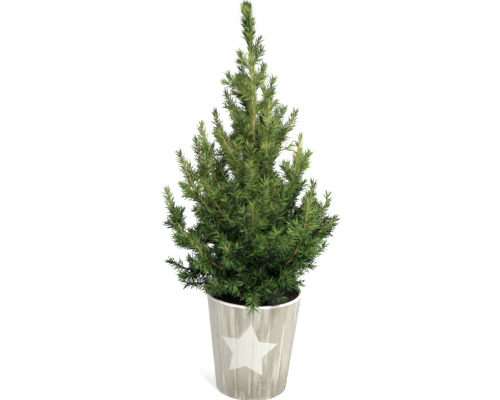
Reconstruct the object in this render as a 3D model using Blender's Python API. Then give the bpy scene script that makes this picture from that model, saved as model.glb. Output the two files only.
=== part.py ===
"""A young dwarf spruce in a tapered glazed pot.

One object for each sub-part: the pot, the potting mix, the trunk, the main boughs and the masses
of foliage round the trunk. Metres, +Z up. The origin is the centre of the pot's flat underside,
-Y is the front of the pot and +X is its right.
"""

import math
import random
from collections import namedtuple

import bmesh
import bpy
import numpy as np
from mathutils import Matrix, Vector

GAP = 0.0003

POT_HEIGHT = 0.1425
POT_TOP_RADIUS = 0.065
POT_FOOT_RADIUS = 0.0480
POT_FOOT_ROUND = 0.004
POT_WALL = 0.0043
POT_FLOOR = 0.006
POT_RIM_ROUND = 0.0012
POT_FOOT_EDGE = 0.0012
PLANKS = 16
PLANK_STEPS = 3
GROOVE_DEPTH = 0.0005
GROOVE_TOP = 0.137

SOIL_HEIGHT = 0.1375
SOIL_BUMP = 0.0012
SOIL_SIDES = 24
SOIL_RINGS = (0.2, 0.5, 0.8)
SOIL_SEED = 5

TRUNK_TIP_HEIGHT = 0.462
TRUNK_FOOT_RADIUS = 0.0058
TRUNK_TIP_RADIUS = 0.0018
TRUNK_LEAN = 0.0134
TRUNK_LEAN_POWER = 1.8
TRUNK_FLARE = 0.0030
TRUNK_FLARE_HEIGHT = 0.007
TRUNK_SIDES = 10
TRUNK_RINGS = 15
TRUNK_RING_POWER = 1.6
TRUNK_TAPER_POWER = 2.0
LEADER_TIP = (-0.0220, 0.0, 0.5330)

LIMB_RADIUS = 0.0027
LIMB_TIP_RADIUS = 0.0018
LIMB_SIDES = 6
LIMB_STEP = 0.012
TURN_PLACE = 0.5
TURN_RANGE = 0.4
NEAR_VERTICAL = 0.05

TWIG_SIDES = 3
STEM_RADIUS = 0.0020
STEM_TIP_RADIUS = 0.0015
SIDE_RADIUS = 0.0016
SIDE_TIP_RADIUS = 0.0013
WHORL_STEP = 0.0056
WHORL_TURN = math.radians(68.0)
BRUSH_LENGTH = 0.046
BRUSH_SHARE = 0.55
SIDE_STEP = 0.0085
SIDE_ANGLE = math.radians(42.0)
SIDE_UPTURN = 0.50
SIDE_SHORTEST = 0.012
SIDE_LONGEST = 0.034
SIDE_SHARE = 0.75
SIDE_SPREAD = (0.75, 1.1)
SIDE_TRIES = 8
SIDE_CLEARANCE = 0.0050
SIDE_FROM = 0.0040
SIDE_SEED = 100
GOLDEN_TURN = math.radians(137.5)
LEADER_BRUSH = 0.010
LEADER_SIDE = 0.012
LEADER_ANGLE = math.radians(30.0)

NEEDLE_LENGTH = 0.0125
NEEDLE_SHORTEST = 0.0045
NEEDLE_LEAN = math.radians(52.0)
NEEDLE_SHRINK = 0.8
NEEDLE_SPREAD = (0.85, 1.05)
NEEDLE_ROOT_WIDTH = 0.0011
NEEDLE_MARKS = (0.35, 0.7, 1.0)
BUD_LENGTH = 0.0060
SPACE_MARGIN = 0.0005
SAMPLE_STEP = 0.0015
ROOT_SAMPLES = 4
CURVE_STEPS = 60

BARK_COLOUR = (0.19, 0.105, 0.05)
LOW_GREEN = (0.028, 0.075, 0.020)
HIGH_GREEN = (0.110, 0.230, 0.045)
GREEN_RISE = 1.3
POT_COLOUR = (0.56, 0.53, 0.46)
SOIL_COLOUR = (0.018, 0.011, 0.007)
GLAZE_ROUGHNESS = 0.35
SOIL_ROUGHNESS = 1.0
BARK_ROUGHNESS = 0.9
NEEDLE_ROUGHNESS = 0.6

# Azimuth 0 points to +X and -90 to the front. Reach is measured from the trunk's axis. Sweep says
# how late a shoot turns up, arch how far it bows up on the way, and bare is the share of the path
# that is a limb of its own: none where the shoot stands on the trunk.
Shoot = namedtuple("Shoot", "name azimuth reach foot tip sweep arch bare")

BOUGHS = (
    Shoot("left_high", 174, 0.070, 0.238, 0.374, 0.70, 0.00, 0.28),
    Shoot("left_long", -174, 0.100, 0.205, 0.338, 0.50, 0.00, 0.28),
    Shoot("left_wide", 180, 0.117, 0.172, 0.285, 0.95, 0.00, 0.34),
    Shoot("left_low", -171, 0.119, 0.158, 0.190, 0.60, 0.00, 0.34),
    Shoot("front_left_low", -143, 0.099, 0.1655, 0.232, 0.65, 0.00, 0.34),
    Shoot("front_left", -116, 0.089, 0.182, 0.234, 0.50, 0.00, 0.33),
    Shoot("front_right", -65, 0.068, 0.175, 0.249, 0.20, 0.00, 0.28),
    Shoot("right_low", -14, 0.100, 0.1635, 0.221, 0.30, 0.00, 0.34),
    Shoot("right_wide", -4, 0.110, 0.182, 0.254, 0.35, 0.00, 0.34),
    Shoot("right_long", 6, 0.098, 0.195, 0.282, 1.05, 0.00, 0.33),
    Shoot("right_high", 4, 0.061, 0.225, 0.362, 0.90, 0.00, 0.28),
    Shoot("right_upright", -27, 0.023, 0.290, 0.410, 1.05, 0.00, 0.24),
    Shoot("right_back", 30, 0.092, 0.205, 0.288, 1.00, 0.00, 0.33),
    Shoot("back", 100, 0.104, 0.197, 0.276, 0.70, 0.00, 0.33),
    Shoot("back_left", 132, 0.109, 0.181, 0.245, 0.65, 0.00, 0.34),
)

TRUNK_SHOOTS = (
    Shoot("left_middle", 165, 0.128, 0.192, 0.226, 0.40, 0.00, 0.0),
    Shoot("left_outer", -171, 0.077, 0.216, 0.357, 0.70, 0.00, 0.0),
    Shoot("left_inner", -155, 0.049, 0.304, 0.368, 0.35, 0.00, 0.0),
    Shoot("left_slim", 159, 0.055, 0.314, 0.388, 0.80, 0.00, 0.0),
    Shoot("right_inner", -45, 0.042, 0.249, 0.310, 0.70, 0.00, 0.0),
    Shoot("right_upper", 2, 0.056, 0.322, 0.395, 0.60, 0.00, 0.0),
    Shoot("right_front", -30, 0.081, 0.171, 0.290, 1.15, 0.00, 0.0),
    Shoot("front", -93, 0.056, 0.200, 0.284, 0.60, 0.00, 0.0),
    Shoot("front_left_high", -125, 0.065, 0.218, 0.269, 0.60, 0.00, 0.0),
    Shoot("back_right", 55, 0.100, 0.171, 0.236, 0.60, 0.00, 0.0),
    Shoot("back_high", 121, 0.060, 0.252, 0.344, 0.70, 0.00, 0.0),
    Shoot("back_left_high", 144, 0.083, 0.220, 0.304, 0.60, 0.00, 0.0),
    Shoot("left_rim", -161, 0.100, 0.149, 0.160, 0.00, 0.05, 0.0),
    Shoot("right_rim", -10, 0.084, 0.1565, 0.186, 0.00, 0.08, 0.0),
    Shoot("right_droop", -7, 0.068, 0.1495, 0.156, 0.00, 0.12, 0.0),
    Shoot("front_rim", -91, 0.078, 0.164, 0.140, 0.30, 0.20, 0.0),
    Shoot("front_left_rim", -118, 0.075, 0.155, 0.171, 0.00, 0.05, 0.0),
    Shoot("front_right_rim", -76, 0.067, 0.153, 0.166, 0.00, 0.06, 0.0),
    Shoot("back_rim", 109, 0.087, 0.152, 0.165, 0.00, 0.06, 0.0),
    Shoot("low_left_top", -158, 0.034, 0.360, 0.393, 0.40, 0.00, 0.0),
    Shoot("low_right_top", -8, 0.029, 0.387, 0.439, 0.50, 0.00, 0.0),
    Shoot("left_top", 178, 0.033, 0.406, 0.442, 0.30, 0.00, 0.0),
    Shoot("right_top", -20, 0.018, 0.426, 0.456, 0.40, 0.00, 0.0),
    Shoot("high_left_top", -157, 0.018, 0.445, 0.473, 0.30, 0.00, 0.0),
    Shoot("high_right_top", 20, 0.015, 0.451, 0.476, 0.40, 0.00, 0.0),
    Shoot("back_top", 99, 0.030, 0.381, 0.423, 0.50, 0.00, 0.0),
)

# A twig's axis: its points, the radius at each, and the needles' length on it, 0 for a bare limb.
Axis = namedtuple("Axis", "mass points radii needle")


def empty_scene():
    for thing in list(bpy.data.objects):
        bpy.data.objects.remove(thing, do_unlink=True)


def finish_material(name, colour, roughness):
    material = bpy.data.materials.new(name)
    material.use_nodes = True
    shader = material.node_tree.nodes["Principled BSDF"]
    shader.inputs["Base Color"].default_value = (*colour, 1.0)
    shader.inputs["Roughness"].default_value = roughness
    return material


def add_object(name, shape, colour, roughness):
    """Turn a bmesh into an object with a material of its own."""
    mesh = bpy.data.meshes.new(name)
    shape.to_mesh(mesh)
    shape.free()
    mesh.materials.append(finish_material(name, colour, roughness))
    thing = bpy.data.objects.new(name, mesh)
    bpy.context.scene.collection.objects.link(thing)
    return thing


def mix(low, high, share):
    return tuple(a + (b - a) * share for a, b in zip(low, high))


# The pot and its filling.

def pot_radius(height):
    """The pot's outer radius, rounded in at the foot."""
    side = POT_FOOT_RADIUS + (POT_TOP_RADIUS - POT_FOOT_RADIUS) * height / POT_HEIGHT
    if height < POT_FOOT_ROUND:
        drop = POT_FOOT_ROUND - height
        side -= POT_FOOT_ROUND - math.sqrt(POT_FOOT_ROUND ** 2 - drop ** 2)
    return side


def ring_of(shape, radius, height, sides, groove=0.0):
    """A horizontal ring of points, drawn in by the groove's depth at each joint between planks."""
    points = []
    for index in range(sides):
        turn = 2.0 * math.pi * index / sides
        inset = groove if index % PLANK_STEPS == 0 else 0.0
        spot = ((radius - inset) * math.cos(turn), (radius - inset) * math.sin(turn), height)
        points.append(shape.verts.new(spot))
    return points


def bridge(shape, rings, closed_start=True, closed_end=True):
    """Skin a row of rings that have equally many points."""
    for lower, upper in zip(rings, rings[1:]):
        count = len(lower)
        for index in range(count):
            after = (index + 1) % count
            shape.faces.new((lower[index], lower[after], upper[after], upper[index]))
    if closed_start:
        shape.faces.new(list(reversed(rings[0])))
    if closed_end:
        shape.faces.new(rings[-1])


def make_pot():
    """A tapered pot with shallow grooves between its planks and a rounded rim."""
    shape = bmesh.new()
    sides = PLANKS * PLANK_STEPS
    top = POT_HEIGHT
    outer = (
        (POT_FOOT_RADIUS - POT_FOOT_ROUND, 0.0, 0.0),
        (pot_radius(POT_FOOT_EDGE), POT_FOOT_EDGE, 0.0),
        (pot_radius(POT_FOOT_ROUND), POT_FOOT_ROUND, GROOVE_DEPTH),
        (pot_radius(GROOVE_TOP), GROOVE_TOP, GROOVE_DEPTH),
        (pot_radius(top - POT_RIM_ROUND), top - POT_RIM_ROUND, 0.0),
        (pot_radius(top) - POT_RIM_ROUND, top, 0.0),
    )
    inner = (
        (POT_TOP_RADIUS - POT_WALL + POT_RIM_ROUND, top, 0.0),
        (pot_radius(top - POT_RIM_ROUND) - POT_WALL, top - POT_RIM_ROUND, 0.0),
        (pot_radius(POT_FLOOR) - POT_WALL, POT_FLOOR, 0.0),
    )
    rings = [ring_of(shape, *place[:2], sides, place[2]) for place in outer + inner]
    bridge(shape, rings)
    return add_object("pot", shape, POT_COLOUR, GLAZE_ROUGHNESS)


def make_potting_mix():
    """The filling: a plug that clears the pot all round, with a slightly uneven top."""
    rng = random.Random(SOIL_SEED)
    shape = bmesh.new()
    low = POT_FLOOR + GAP
    clear = POT_WALL + 2.0 * GAP
    top_radius = pot_radius(SOIL_HEIGHT) - clear
    rings = [ring_of(shape, pot_radius(low) - clear, low, SOIL_SIDES)]
    rings.append(ring_of(shape, top_radius, SOIL_HEIGHT - SOIL_BUMP, SOIL_SIDES))
    for share in reversed(SOIL_RINGS):
        rings.append(ring_of(shape, top_radius * share, SOIL_HEIGHT, SOIL_SIDES))
        if share > SOIL_RINGS[0]:
            for point in rings[-1]:
                point.co.z += rng.uniform(-SOIL_BUMP, 0.0)
    bridge(shape, rings)
    return add_object("potting_mix", shape, SOIL_COLOUR, SOIL_ROUGHNESS)


def clear_of_pot(point, room):
    """Is the point outside the pot and above its filling, with this much room?"""
    out = math.hypot(point.x, point.y)
    if point.z > POT_HEIGHT + room:
        return True
    if point.z > SOIL_HEIGHT + room and out < pot_radius(SOIL_HEIGHT) - POT_WALL - room:
        return True
    return point.z > room and out > pot_radius(point.z) + room


# Paths.

def bend(start, middle, end, share):
    """A point on the quadratic curve through start and end."""
    rest = 1.0 - share
    return rest * rest * start + 2.0 * rest * share * middle + share * share * end


def path_length(points):
    return sum((after - before).length for before, after in zip(points, points[1:]))


def spaced(points, step):
    """The same path with points an even step apart, ends included."""
    total = path_length(points)
    count = max(2, round(total / step))
    kept = [points[0]]
    walked = 0.0
    index = 0
    for number in range(1, count):
        mark = total * number / count
        while walked + (points[index + 1] - points[index]).length < mark:
            walked += (points[index + 1] - points[index]).length
            index += 1
        span = (points[index + 1] - points[index]).length
        kept.append(points[index].lerp(points[index + 1], (mark - walked) / span))
    return kept + [points[-1]]


def even_path(start, middle, end, step):
    """Points along the curve, about one step apart."""
    fine = [bend(start, middle, end, index / CURVE_STEPS) for index in range(CURVE_STEPS + 1)]
    return spaced(fine, step)


def cut_path(points, start, end):
    """The part of a path between two lengths along it."""
    kept = []
    walked = 0.0
    for before, after in zip(points, points[1:]):
        span = (after - before).length
        for mark in (start, end):
            if walked <= mark < walked + span:
                kept.append(before.lerp(after, (mark - walked) / span))
        walked += span
        if start < walked < end:
            kept.append(after)
    return kept


def directions(points, first=None):
    """The heading at each point of a path. A first heading can be given."""
    headings = []
    last = len(points) - 1
    for index in range(len(points)):
        ahead = points[min(index + 1, last)] - points[max(index - 1, 0)]
        headings.append(ahead.normalized())
    if first is not None:
        headings[0] = first
    return headings


# The trunk and the limbs.

def trunk_share(height):
    return (height - SOIL_HEIGHT) / (TRUNK_TIP_HEIGHT - SOIL_HEIGHT)


def trunk_centre(height):
    share = min(max(trunk_share(height), 0.0), 1.0)
    return Vector((-TRUNK_LEAN * share ** TRUNK_LEAN_POWER, 0.0, height))


def trunk_radius(height):
    share = min(max(trunk_share(height), 0.0), 1.0)
    taper = TRUNK_TIP_RADIUS + (TRUNK_FOOT_RADIUS - TRUNK_TIP_RADIUS) * (1.0 - share) ** TRUNK_TAPER_POWER
    return taper + TRUNK_FLARE * math.exp(-(height - SOIL_HEIGHT) / TRUNK_FLARE_HEIGHT)


def frame_at(direction, turn=0.0):
    """Two unit vectors across a direction, turned about it."""
    direction = direction.normalized()
    side = direction.cross(Vector((0.0, 0.0, 1.0)))
    if side.length < NEAR_VERTICAL:
        side = Vector((0.0, 1.0, 0.0))
    side.normalize()
    spin = Matrix.Rotation(turn, 3, direction)
    return spin @ side, spin @ direction.cross(side)


def tube_ring(shape, centre, across, radius, sides):
    first, second = across
    points = []
    for index in range(sides):
        turn = 2.0 * math.pi * index / sides
        spot = centre + radius * (math.cos(turn) * first + math.sin(turn) * second)
        points.append(shape.verts.new(spot))
    return points


def make_trunk():
    """The trunk from its flat cut at the top of the filling to its tip, close rings at the flare."""
    shape = bmesh.new()
    rings = []
    for index in range(TRUNK_RINGS):
        share = (index / (TRUNK_RINGS - 1)) ** TRUNK_RING_POWER
        height = SOIL_HEIGHT + GAP + share * (TRUNK_TIP_HEIGHT - SOIL_HEIGHT - GAP)
        ring = tube_ring(shape, trunk_centre(height), (Vector((1, 0, 0)), Vector((0, 1, 0))),
                         trunk_radius(height), TRUNK_SIDES)
        rings.append(ring)
    bridge(shape, rings)
    return add_object("trunk", shape, BARK_COLOUR, BARK_ROUGHNESS)


def outward(azimuth):
    turn = math.radians(azimuth)
    return Vector((math.cos(turn), math.sin(turn), 0.0))


def shoot_path(shoot, step):
    """The path of a shoot from the trunk's bark to the tip of its last needle."""
    heading = outward(shoot.azimuth)
    foot = trunk_centre(shoot.foot) + heading * (trunk_radius(shoot.foot) + GAP)
    tip = trunk_centre(shoot.tip) + heading * shoot.reach
    run = (tip - foot).to_2d().length
    rise = shoot.tip - shoot.foot
    turn = foot + heading * run * (TURN_PLACE + TURN_RANGE * shoot.sweep)
    turn.z += rise * (TURN_PLACE - TURN_RANGE * shoot.sweep) + shoot.arch * shoot.reach
    return even_path(foot, turn, tip, step)


def limb_radius(share):
    return LIMB_RADIUS + (LIMB_TIP_RADIUS - LIMB_RADIUS) * share


def make_limb(shoot, points):
    """One tapering limb, cut flat beside the trunk and at its own tip."""
    shape = bmesh.new()
    points = spaced(points, LIMB_STEP)
    headings = directions(points, outward(shoot.azimuth))
    rings = []
    for index, (point, heading) in enumerate(zip(points, headings)):
        radius = limb_radius(index / (len(points) - 1))
        rings.append(tube_ring(shape, point, frame_at(heading), radius, LIMB_SIDES))
    bridge(shape, rings)
    return add_object("bough_" + shoot.name, shape, BARK_COLOUR, BARK_ROUGHNESS)


# The crown's axes, and the space that each twig keeps to.

def tapered(count, start, end):
    return [start + (end - start) * index / (count - 1) for index in range(count)]


def axis_arrays(axes):
    """All the axes' points in one array, with their radii and the number of each axis."""
    points = np.array([tuple(point) for axis in axes for point in axis.points])
    radii = np.array([radius for axis in axes for radius in axis.radii])
    owners = np.concatenate([np.full(len(axis.points), n) for n, axis in enumerate(axes)])
    return points, radii, owners


def surface_distances(arrays, point):
    points, radii, _ = arrays
    return np.linalg.norm(points - np.array(point), axis=1) - radii


def trunk_axis():
    count = round((TRUNK_TIP_HEIGHT - SOIL_HEIGHT) / SAMPLE_STEP)
    heights = [SOIL_HEIGHT + (TRUNK_TIP_HEIGHT - SOIL_HEIGHT) * n / count for n in range(count + 1)]
    centres = [trunk_centre(height) for height in heights]
    return Axis(None, centres, [trunk_radius(height) for height in heights], 0.0)


def side_path(root, heading, turn, length, angle):
    """A side twig's path: off the stem at an angle, then turning up."""
    first, second = frame_at(heading)
    across = math.cos(turn) * first + math.sin(turn) * second
    start = (math.cos(angle) * heading + math.sin(angle) * across).normalized()
    upward = (start + Vector((0.0, 0.0, SIDE_UPTURN))).normalized()
    middle = root + start * length * 0.5
    return even_path(root, middle, middle + upward * length * 0.5, SAMPLE_STEP)


def fits(path, room, arrays, parent):
    """Does a side twig clear the pot and every other axis, past its root on the stem?"""
    owners = arrays[2]
    for point in path[ROOT_SAMPLES:]:
        if not clear_of_pot(point, room):
            return False
        distances = surface_distances(arrays, point)
        if distances[owners != parent].min() < room:
            return False
    return distances[owners == parent].min() > room


def grow_sides(axes, parent, rng):
    """Add a stem's side twigs, by golden turns round it, below the brush at its end."""
    stem = axes[parent]
    length = path_length(stem.points)
    headings = directions(stem.points)
    is_leader = stem.mass == "leader"
    brush = LEADER_BRUSH if is_leader else min(BRUSH_LENGTH, BRUSH_SHARE * length)
    longest = LEADER_SIDE if is_leader else min(SIDE_LONGEST, SIDE_SHARE * brush)
    angle = LEADER_ANGLE if is_leader else SIDE_ANGLE
    turn = rng.uniform(0.0, 2.0 * math.pi)
    place = length - brush
    while place > SIDE_FROM:
        spot = int(place / length * (len(stem.points) - 1))
        place -= SIDE_STEP
        reach = longest * rng.uniform(*SIDE_SPREAD)
        if reach < SIDE_SHORTEST:
            continue
        arrays = axis_arrays(axes)
        for _ in range(SIDE_TRIES):
            turn += GOLDEN_TURN
            path = side_path(stem.points[spot], headings[spot], turn, reach, angle)
            if fits(path, SIDE_CLEARANCE, arrays, parent):
                radii = tapered(len(path), SIDE_RADIUS, SIDE_TIP_RADIUS)
                axes.append(Axis(stem.mass, path, radii, NEEDLE_LENGTH))
                break


def plan_crown():
    """Lay out every limb and stem, then the side twigs. Returns the limbs' paths and the axes."""
    axes = [trunk_axis()]
    limbs = []
    stems = []
    for shoot in BOUGHS + TRUNK_SHOOTS:
        path = shoot_path(shoot, SAMPLE_STEP)
        length = path_length(path) - BUD_LENGTH
        bare = shoot.bare * length
        if bare:
            limb = cut_path(path, 0.0, bare)
            limbs.append((shoot, limb))
            radii = [limb_radius(share) for share in tapered(len(limb), 0.0, 1.0)]
            axes.append(Axis(None, limb, radii, 0.0))
            stem = cut_path(path, bare + GAP, length)
        else:
            stem = cut_path(path, 0.0, length)
        stems.append(len(axes))
        radii = tapered(len(stem), STEM_RADIUS, STEM_TIP_RADIUS)
        axes.append(Axis(shoot.name, stem, radii, NEEDLE_LENGTH))
    root = trunk_centre(TRUNK_TIP_HEIGHT) + Vector((0.0, 0.0, GAP))
    tip = Vector(LEADER_TIP) - Vector((0.0, 0.0, BUD_LENGTH))
    leader = even_path(root, root.lerp(tip, 0.5), tip, SAMPLE_STEP)
    stems.append(len(axes))
    radii = tapered(len(leader), TRUNK_TIP_RADIUS, STEM_TIP_RADIUS)
    axes.append(Axis("leader", leader, radii, NEEDLE_LENGTH))
    for number, stem in enumerate(stems):
        grow_sides(axes, stem, random.Random(SIDE_SEED + number))
    return limbs, axes


# Sprays: a slim three-sided core whose faces are drawn out into needles.

def keeps_to_space(root, apex, arrays, own):
    """Does a needle stay nearer to its own twig than to anything else?"""
    owners = arrays[2]
    for share in NEEDLE_MARKS:
        point = root.lerp(apex, share)
        room = SPACE_MARGIN + 2.0 * NEEDLE_ROOT_WIDTH * (1.0 - share)
        if not clear_of_pot(point, room):
            return False
        distances = surface_distances(arrays, point)
        if distances[owners != own].min() < distances[owners == own].min() + room:
            return False
    return True


def draw_needle(shape, face, heading, length, arrays, own):
    """Draw one face of the core out into a needle, shorter where its space is narrow."""
    root = face.calc_center_median()
    outer = face.normal - face.normal.dot(heading) * heading
    lean = math.cos(NEEDLE_LEAN) * heading + math.sin(NEEDLE_LEAN) * outer.normalized()
    while length >= NEEDLE_SHORTEST:
        apex = root + lean * length
        if keeps_to_space(root, apex, arrays, own):
            bmesh.ops.poke(shape, faces=[face])["verts"][0].co = apex
            return
        length *= NEEDLE_SHRINK


def make_spray(name, axis, own, arrays, first_heading, rng):
    """One twig with its needles as a closed mesh, in an object of its own."""
    shape = bmesh.new()
    points = spaced(axis.points, WHORL_STEP)
    headings = directions(points, first_heading)
    turn = rng.uniform(0.0, 2.0 * math.pi)
    rings = []
    for index, (point, heading) in enumerate(zip(points, headings)):
        share = index / (len(points) - 1)
        radius = axis.radii[0] + (axis.radii[-1] - axis.radii[0]) * share
        across = frame_at(heading, turn)
        rings.append(tube_ring(shape, point, across, radius, TWIG_SIDES))
        turn += WHORL_TURN
    shape.faces.new(list(reversed(rings[0])))
    bearing = []
    for index, (lower, upper) in enumerate(zip(rings, rings[1:])):
        for side in range(TWIG_SIDES):
            after = (side + 1) % TWIG_SIDES
            bearing.append((shape.faces.new((lower[side], lower[after], upper[side])), index))
            shape.faces.new((upper[after], upper[side], lower[after]))
    bud = shape.verts.new(points[-1] + headings[-1] * BUD_LENGTH)
    for side in range(TWIG_SIDES):
        shape.faces.new((rings[-1][side], rings[-1][(side + 1) % TWIG_SIDES], bud))
    shape.normal_update()
    for face, index in bearing:
        length = axis.needle * rng.uniform(*NEEDLE_SPREAD)
        heading = (headings[index] + headings[index + 1]).normalized()
        draw_needle(shape, face, heading, length, arrays, own)
    return add_object(name, shape, HIGH_GREEN, NEEDLE_ROUGHNESS)


def is_one_body(mesh):
    """Is the mesh closed, with its faces pointing out?"""
    shape = bmesh.new()
    shape.from_mesh(mesh)
    closed = all(len(edge.link_faces) == 2 for edge in shape.edges)
    sound = closed and shape.calc_volume(signed=True) > 0.0
    shape.free()
    return sound


def union_of(base, sprays, solver):
    """The mesh that a union of an object and a collection gives."""
    union = base.modifiers.new("union", "BOOLEAN")
    union.operation = "UNION"
    union.operand_type = "COLLECTION"
    union.collection = sprays
    union.solver = solver
    drawn = base.evaluated_get(bpy.context.evaluated_depsgraph_get())
    joined = bpy.data.meshes.new_from_object(drawn)
    base.modifiers.clear()
    return joined


def fuse(base, others):
    """Join a mass's sprays into one solid, without the last of them where both solvers fail."""
    sprays = bpy.data.collections.new("sprays")
    bpy.context.scene.collection.children.link(sprays)
    for spray in others:
        bpy.context.scene.collection.objects.unlink(spray)
        sprays.objects.link(spray)
    while sprays.objects:
        for solver in ("EXACT", "MANIFOLD"):
            joined = union_of(base, sprays, solver)
            if is_one_body(joined):
                break
        else:
            bpy.data.objects.remove(sprays.objects[-1], do_unlink=True)
            continue
        base.data = joined
        break
    for spray in list(sprays.objects):
        bpy.data.objects.remove(spray, do_unlink=True)
    bpy.data.collections.remove(sprays)


def make_mass(name, axes, arrays, first_heading):
    """One mass of foliage: a stem's spray with its side sprays fused on."""
    rng = random.Random("mass " + name)
    sprays = []
    for own, axis in enumerate(axes):
        if axis.mass == name:
            heading = None if sprays else first_heading
            sprays.append(make_spray("foliage_" + name, axis, own, arrays, heading, rng))
    base = sprays[0]
    if len(sprays) > 1:
        fuse(base, sprays[1:])
    height = sum((base.matrix_world @ v.co).z for v in base.data.vertices) / len(base.data.vertices)
    share = trunk_share(height)
    green = mix(LOW_GREEN, HIGH_GREEN, min(max(share * GREEN_RISE, 0.0), 1.0))
    base.data.materials.clear()
    base.data.materials.append(finish_material(base.name, green, NEEDLE_ROUGHNESS))
    return base


def main():
    empty_scene()
    make_pot()
    make_potting_mix()
    make_trunk()
    limbs, axes = plan_crown()
    for shoot, path in limbs:
        make_limb(shoot, path)
    arrays = axis_arrays(axes)
    for shoot in BOUGHS:
        make_mass(shoot.name, axes, arrays, None)
    for shoot in TRUNK_SHOOTS:
        make_mass(shoot.name, axes, arrays, outward(shoot.azimuth))
    make_mass("leader", axes, arrays, None)


main()
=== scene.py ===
"""The looks of a young dwarf spruce in a whitewashed, plank-look glazed pot with a plain star."""
import math
import random
from collections import namedtuple

import bmesh
import bpy
import numpy as np
from mathutils import Matrix, Vector, noise


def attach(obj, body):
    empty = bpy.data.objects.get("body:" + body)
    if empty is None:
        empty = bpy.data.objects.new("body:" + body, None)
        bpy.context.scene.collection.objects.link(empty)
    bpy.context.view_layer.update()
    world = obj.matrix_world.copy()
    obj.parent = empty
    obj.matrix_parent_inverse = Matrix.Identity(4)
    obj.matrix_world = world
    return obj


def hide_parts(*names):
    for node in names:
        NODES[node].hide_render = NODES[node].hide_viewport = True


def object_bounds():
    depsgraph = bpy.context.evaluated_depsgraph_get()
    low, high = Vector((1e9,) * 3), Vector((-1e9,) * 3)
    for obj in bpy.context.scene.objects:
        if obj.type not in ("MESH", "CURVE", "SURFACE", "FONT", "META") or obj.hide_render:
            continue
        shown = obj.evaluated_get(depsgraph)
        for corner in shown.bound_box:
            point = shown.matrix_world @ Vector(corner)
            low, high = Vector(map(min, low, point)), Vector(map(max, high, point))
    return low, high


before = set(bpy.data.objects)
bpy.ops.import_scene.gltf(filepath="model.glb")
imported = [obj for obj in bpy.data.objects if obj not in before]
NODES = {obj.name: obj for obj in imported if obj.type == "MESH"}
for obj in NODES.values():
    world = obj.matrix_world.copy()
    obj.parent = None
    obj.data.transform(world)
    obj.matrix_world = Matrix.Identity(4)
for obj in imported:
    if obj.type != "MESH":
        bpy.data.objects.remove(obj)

CAD_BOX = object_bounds()

# The camera, as the photograph was taken: distances in metres, angles in degrees.
CAMERA_DISTANCE = 1.8
CAMERA_HEIGHT = 0.804
CAMERA_PITCH = 16.55
CAMERA_YAW = -0.30
CAMERA_ROLL = 1.73
FOCAL_PIXELS = 1416.0
PHOTO_WIDTH, PHOTO_HEIGHT = 500, 400
SKY_LIGHT = 0.6
SKY_WHITE = 1.0
FLOOR_GLOW = 0.42
SENSOR_WIDTH = 36.0

# The pot, as the solids have it, with the finer relief of its planks.
POT_HEIGHT = 0.1425
POT_TOP_RADIUS = 0.065
POT_FOOT_RADIUS = 0.0480
POT_FOOT_ROUND = 0.004
POT_WALL = 0.0043
POT_FLOOR = 0.006
PLANKS = 16
PLANK_COLUMNS = 22
GROOVE_DEPTH = 0.0007
GROOVE_WIDTH = 0.0009
RIM_BEAD = 0.0019
RIM_WAVE = 0.0004

STAR_CENTRE = (-0.0062, 0.0756)
STAR_OUTER = 0.0419
STAR_INNER = 0.0212
STAR_TURN = math.radians(5.0)
STAR_STAND = 0.00016
STAR_WOBBLE = 0.0006

SOIL_HEIGHT = 0.1375
SOIL_CRUMBS = 1500

# The trunk and the shoots, by the same rule and sizes as the solids.
GAP = 0.0003
TRUNK_TIP_HEIGHT = 0.462
TRUNK_FOOT_RADIUS = 0.0058
TRUNK_TIP_RADIUS = 0.0018
TRUNK_LEAN = 0.0134
TRUNK_LEAN_POWER = 1.8
TRUNK_FLARE = 0.0030
TRUNK_FLARE_HEIGHT = 0.007
TRUNK_TAPER_POWER = 2.0
LEADER_TIP = (-0.0220, 0.0, 0.5330)

LIMB_RADIUS = 0.0027
LIMB_TIP_RADIUS = 0.0018
STEM_RADIUS = 0.0015
STEM_TIP_RADIUS = 0.0010
SIDE_RADIUS = 0.0011
SIDE_TIP_RADIUS = 0.0007
FINE_RADIUS = 0.0008
FINE_TIP_RADIUS = 0.0006
BRUSH_LENGTH = 0.046
BRUSH_SHARE = 0.55
SIDE_STEP = 0.0085
SIDE_ANGLE = math.radians(42.0)
SIDE_UPTURN = 0.50
SIDE_SHORTEST = 0.012
SIDE_LONGEST = 0.034
SIDE_SHARE = 0.75
SIDE_SPREAD = (0.75, 1.1)
SIDE_TRIES = 8
LEADER_BRUSH = 0.010
LEADER_SIDE = 0.012
LEADER_ANGLE = math.radians(30.0)
SIDE_CLEARANCE = 0.0050
SIDE_FROM = 0.0040
GOLDEN_TURN = math.radians(137.5)
BUD_LENGTH = 0.0060
SAMPLE_STEP = 0.0015
ROOT_SAMPLES = 4
CURVE_STEPS = 60

Shoot = namedtuple("Shoot", "name azimuth reach foot tip sweep arch bare")

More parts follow.
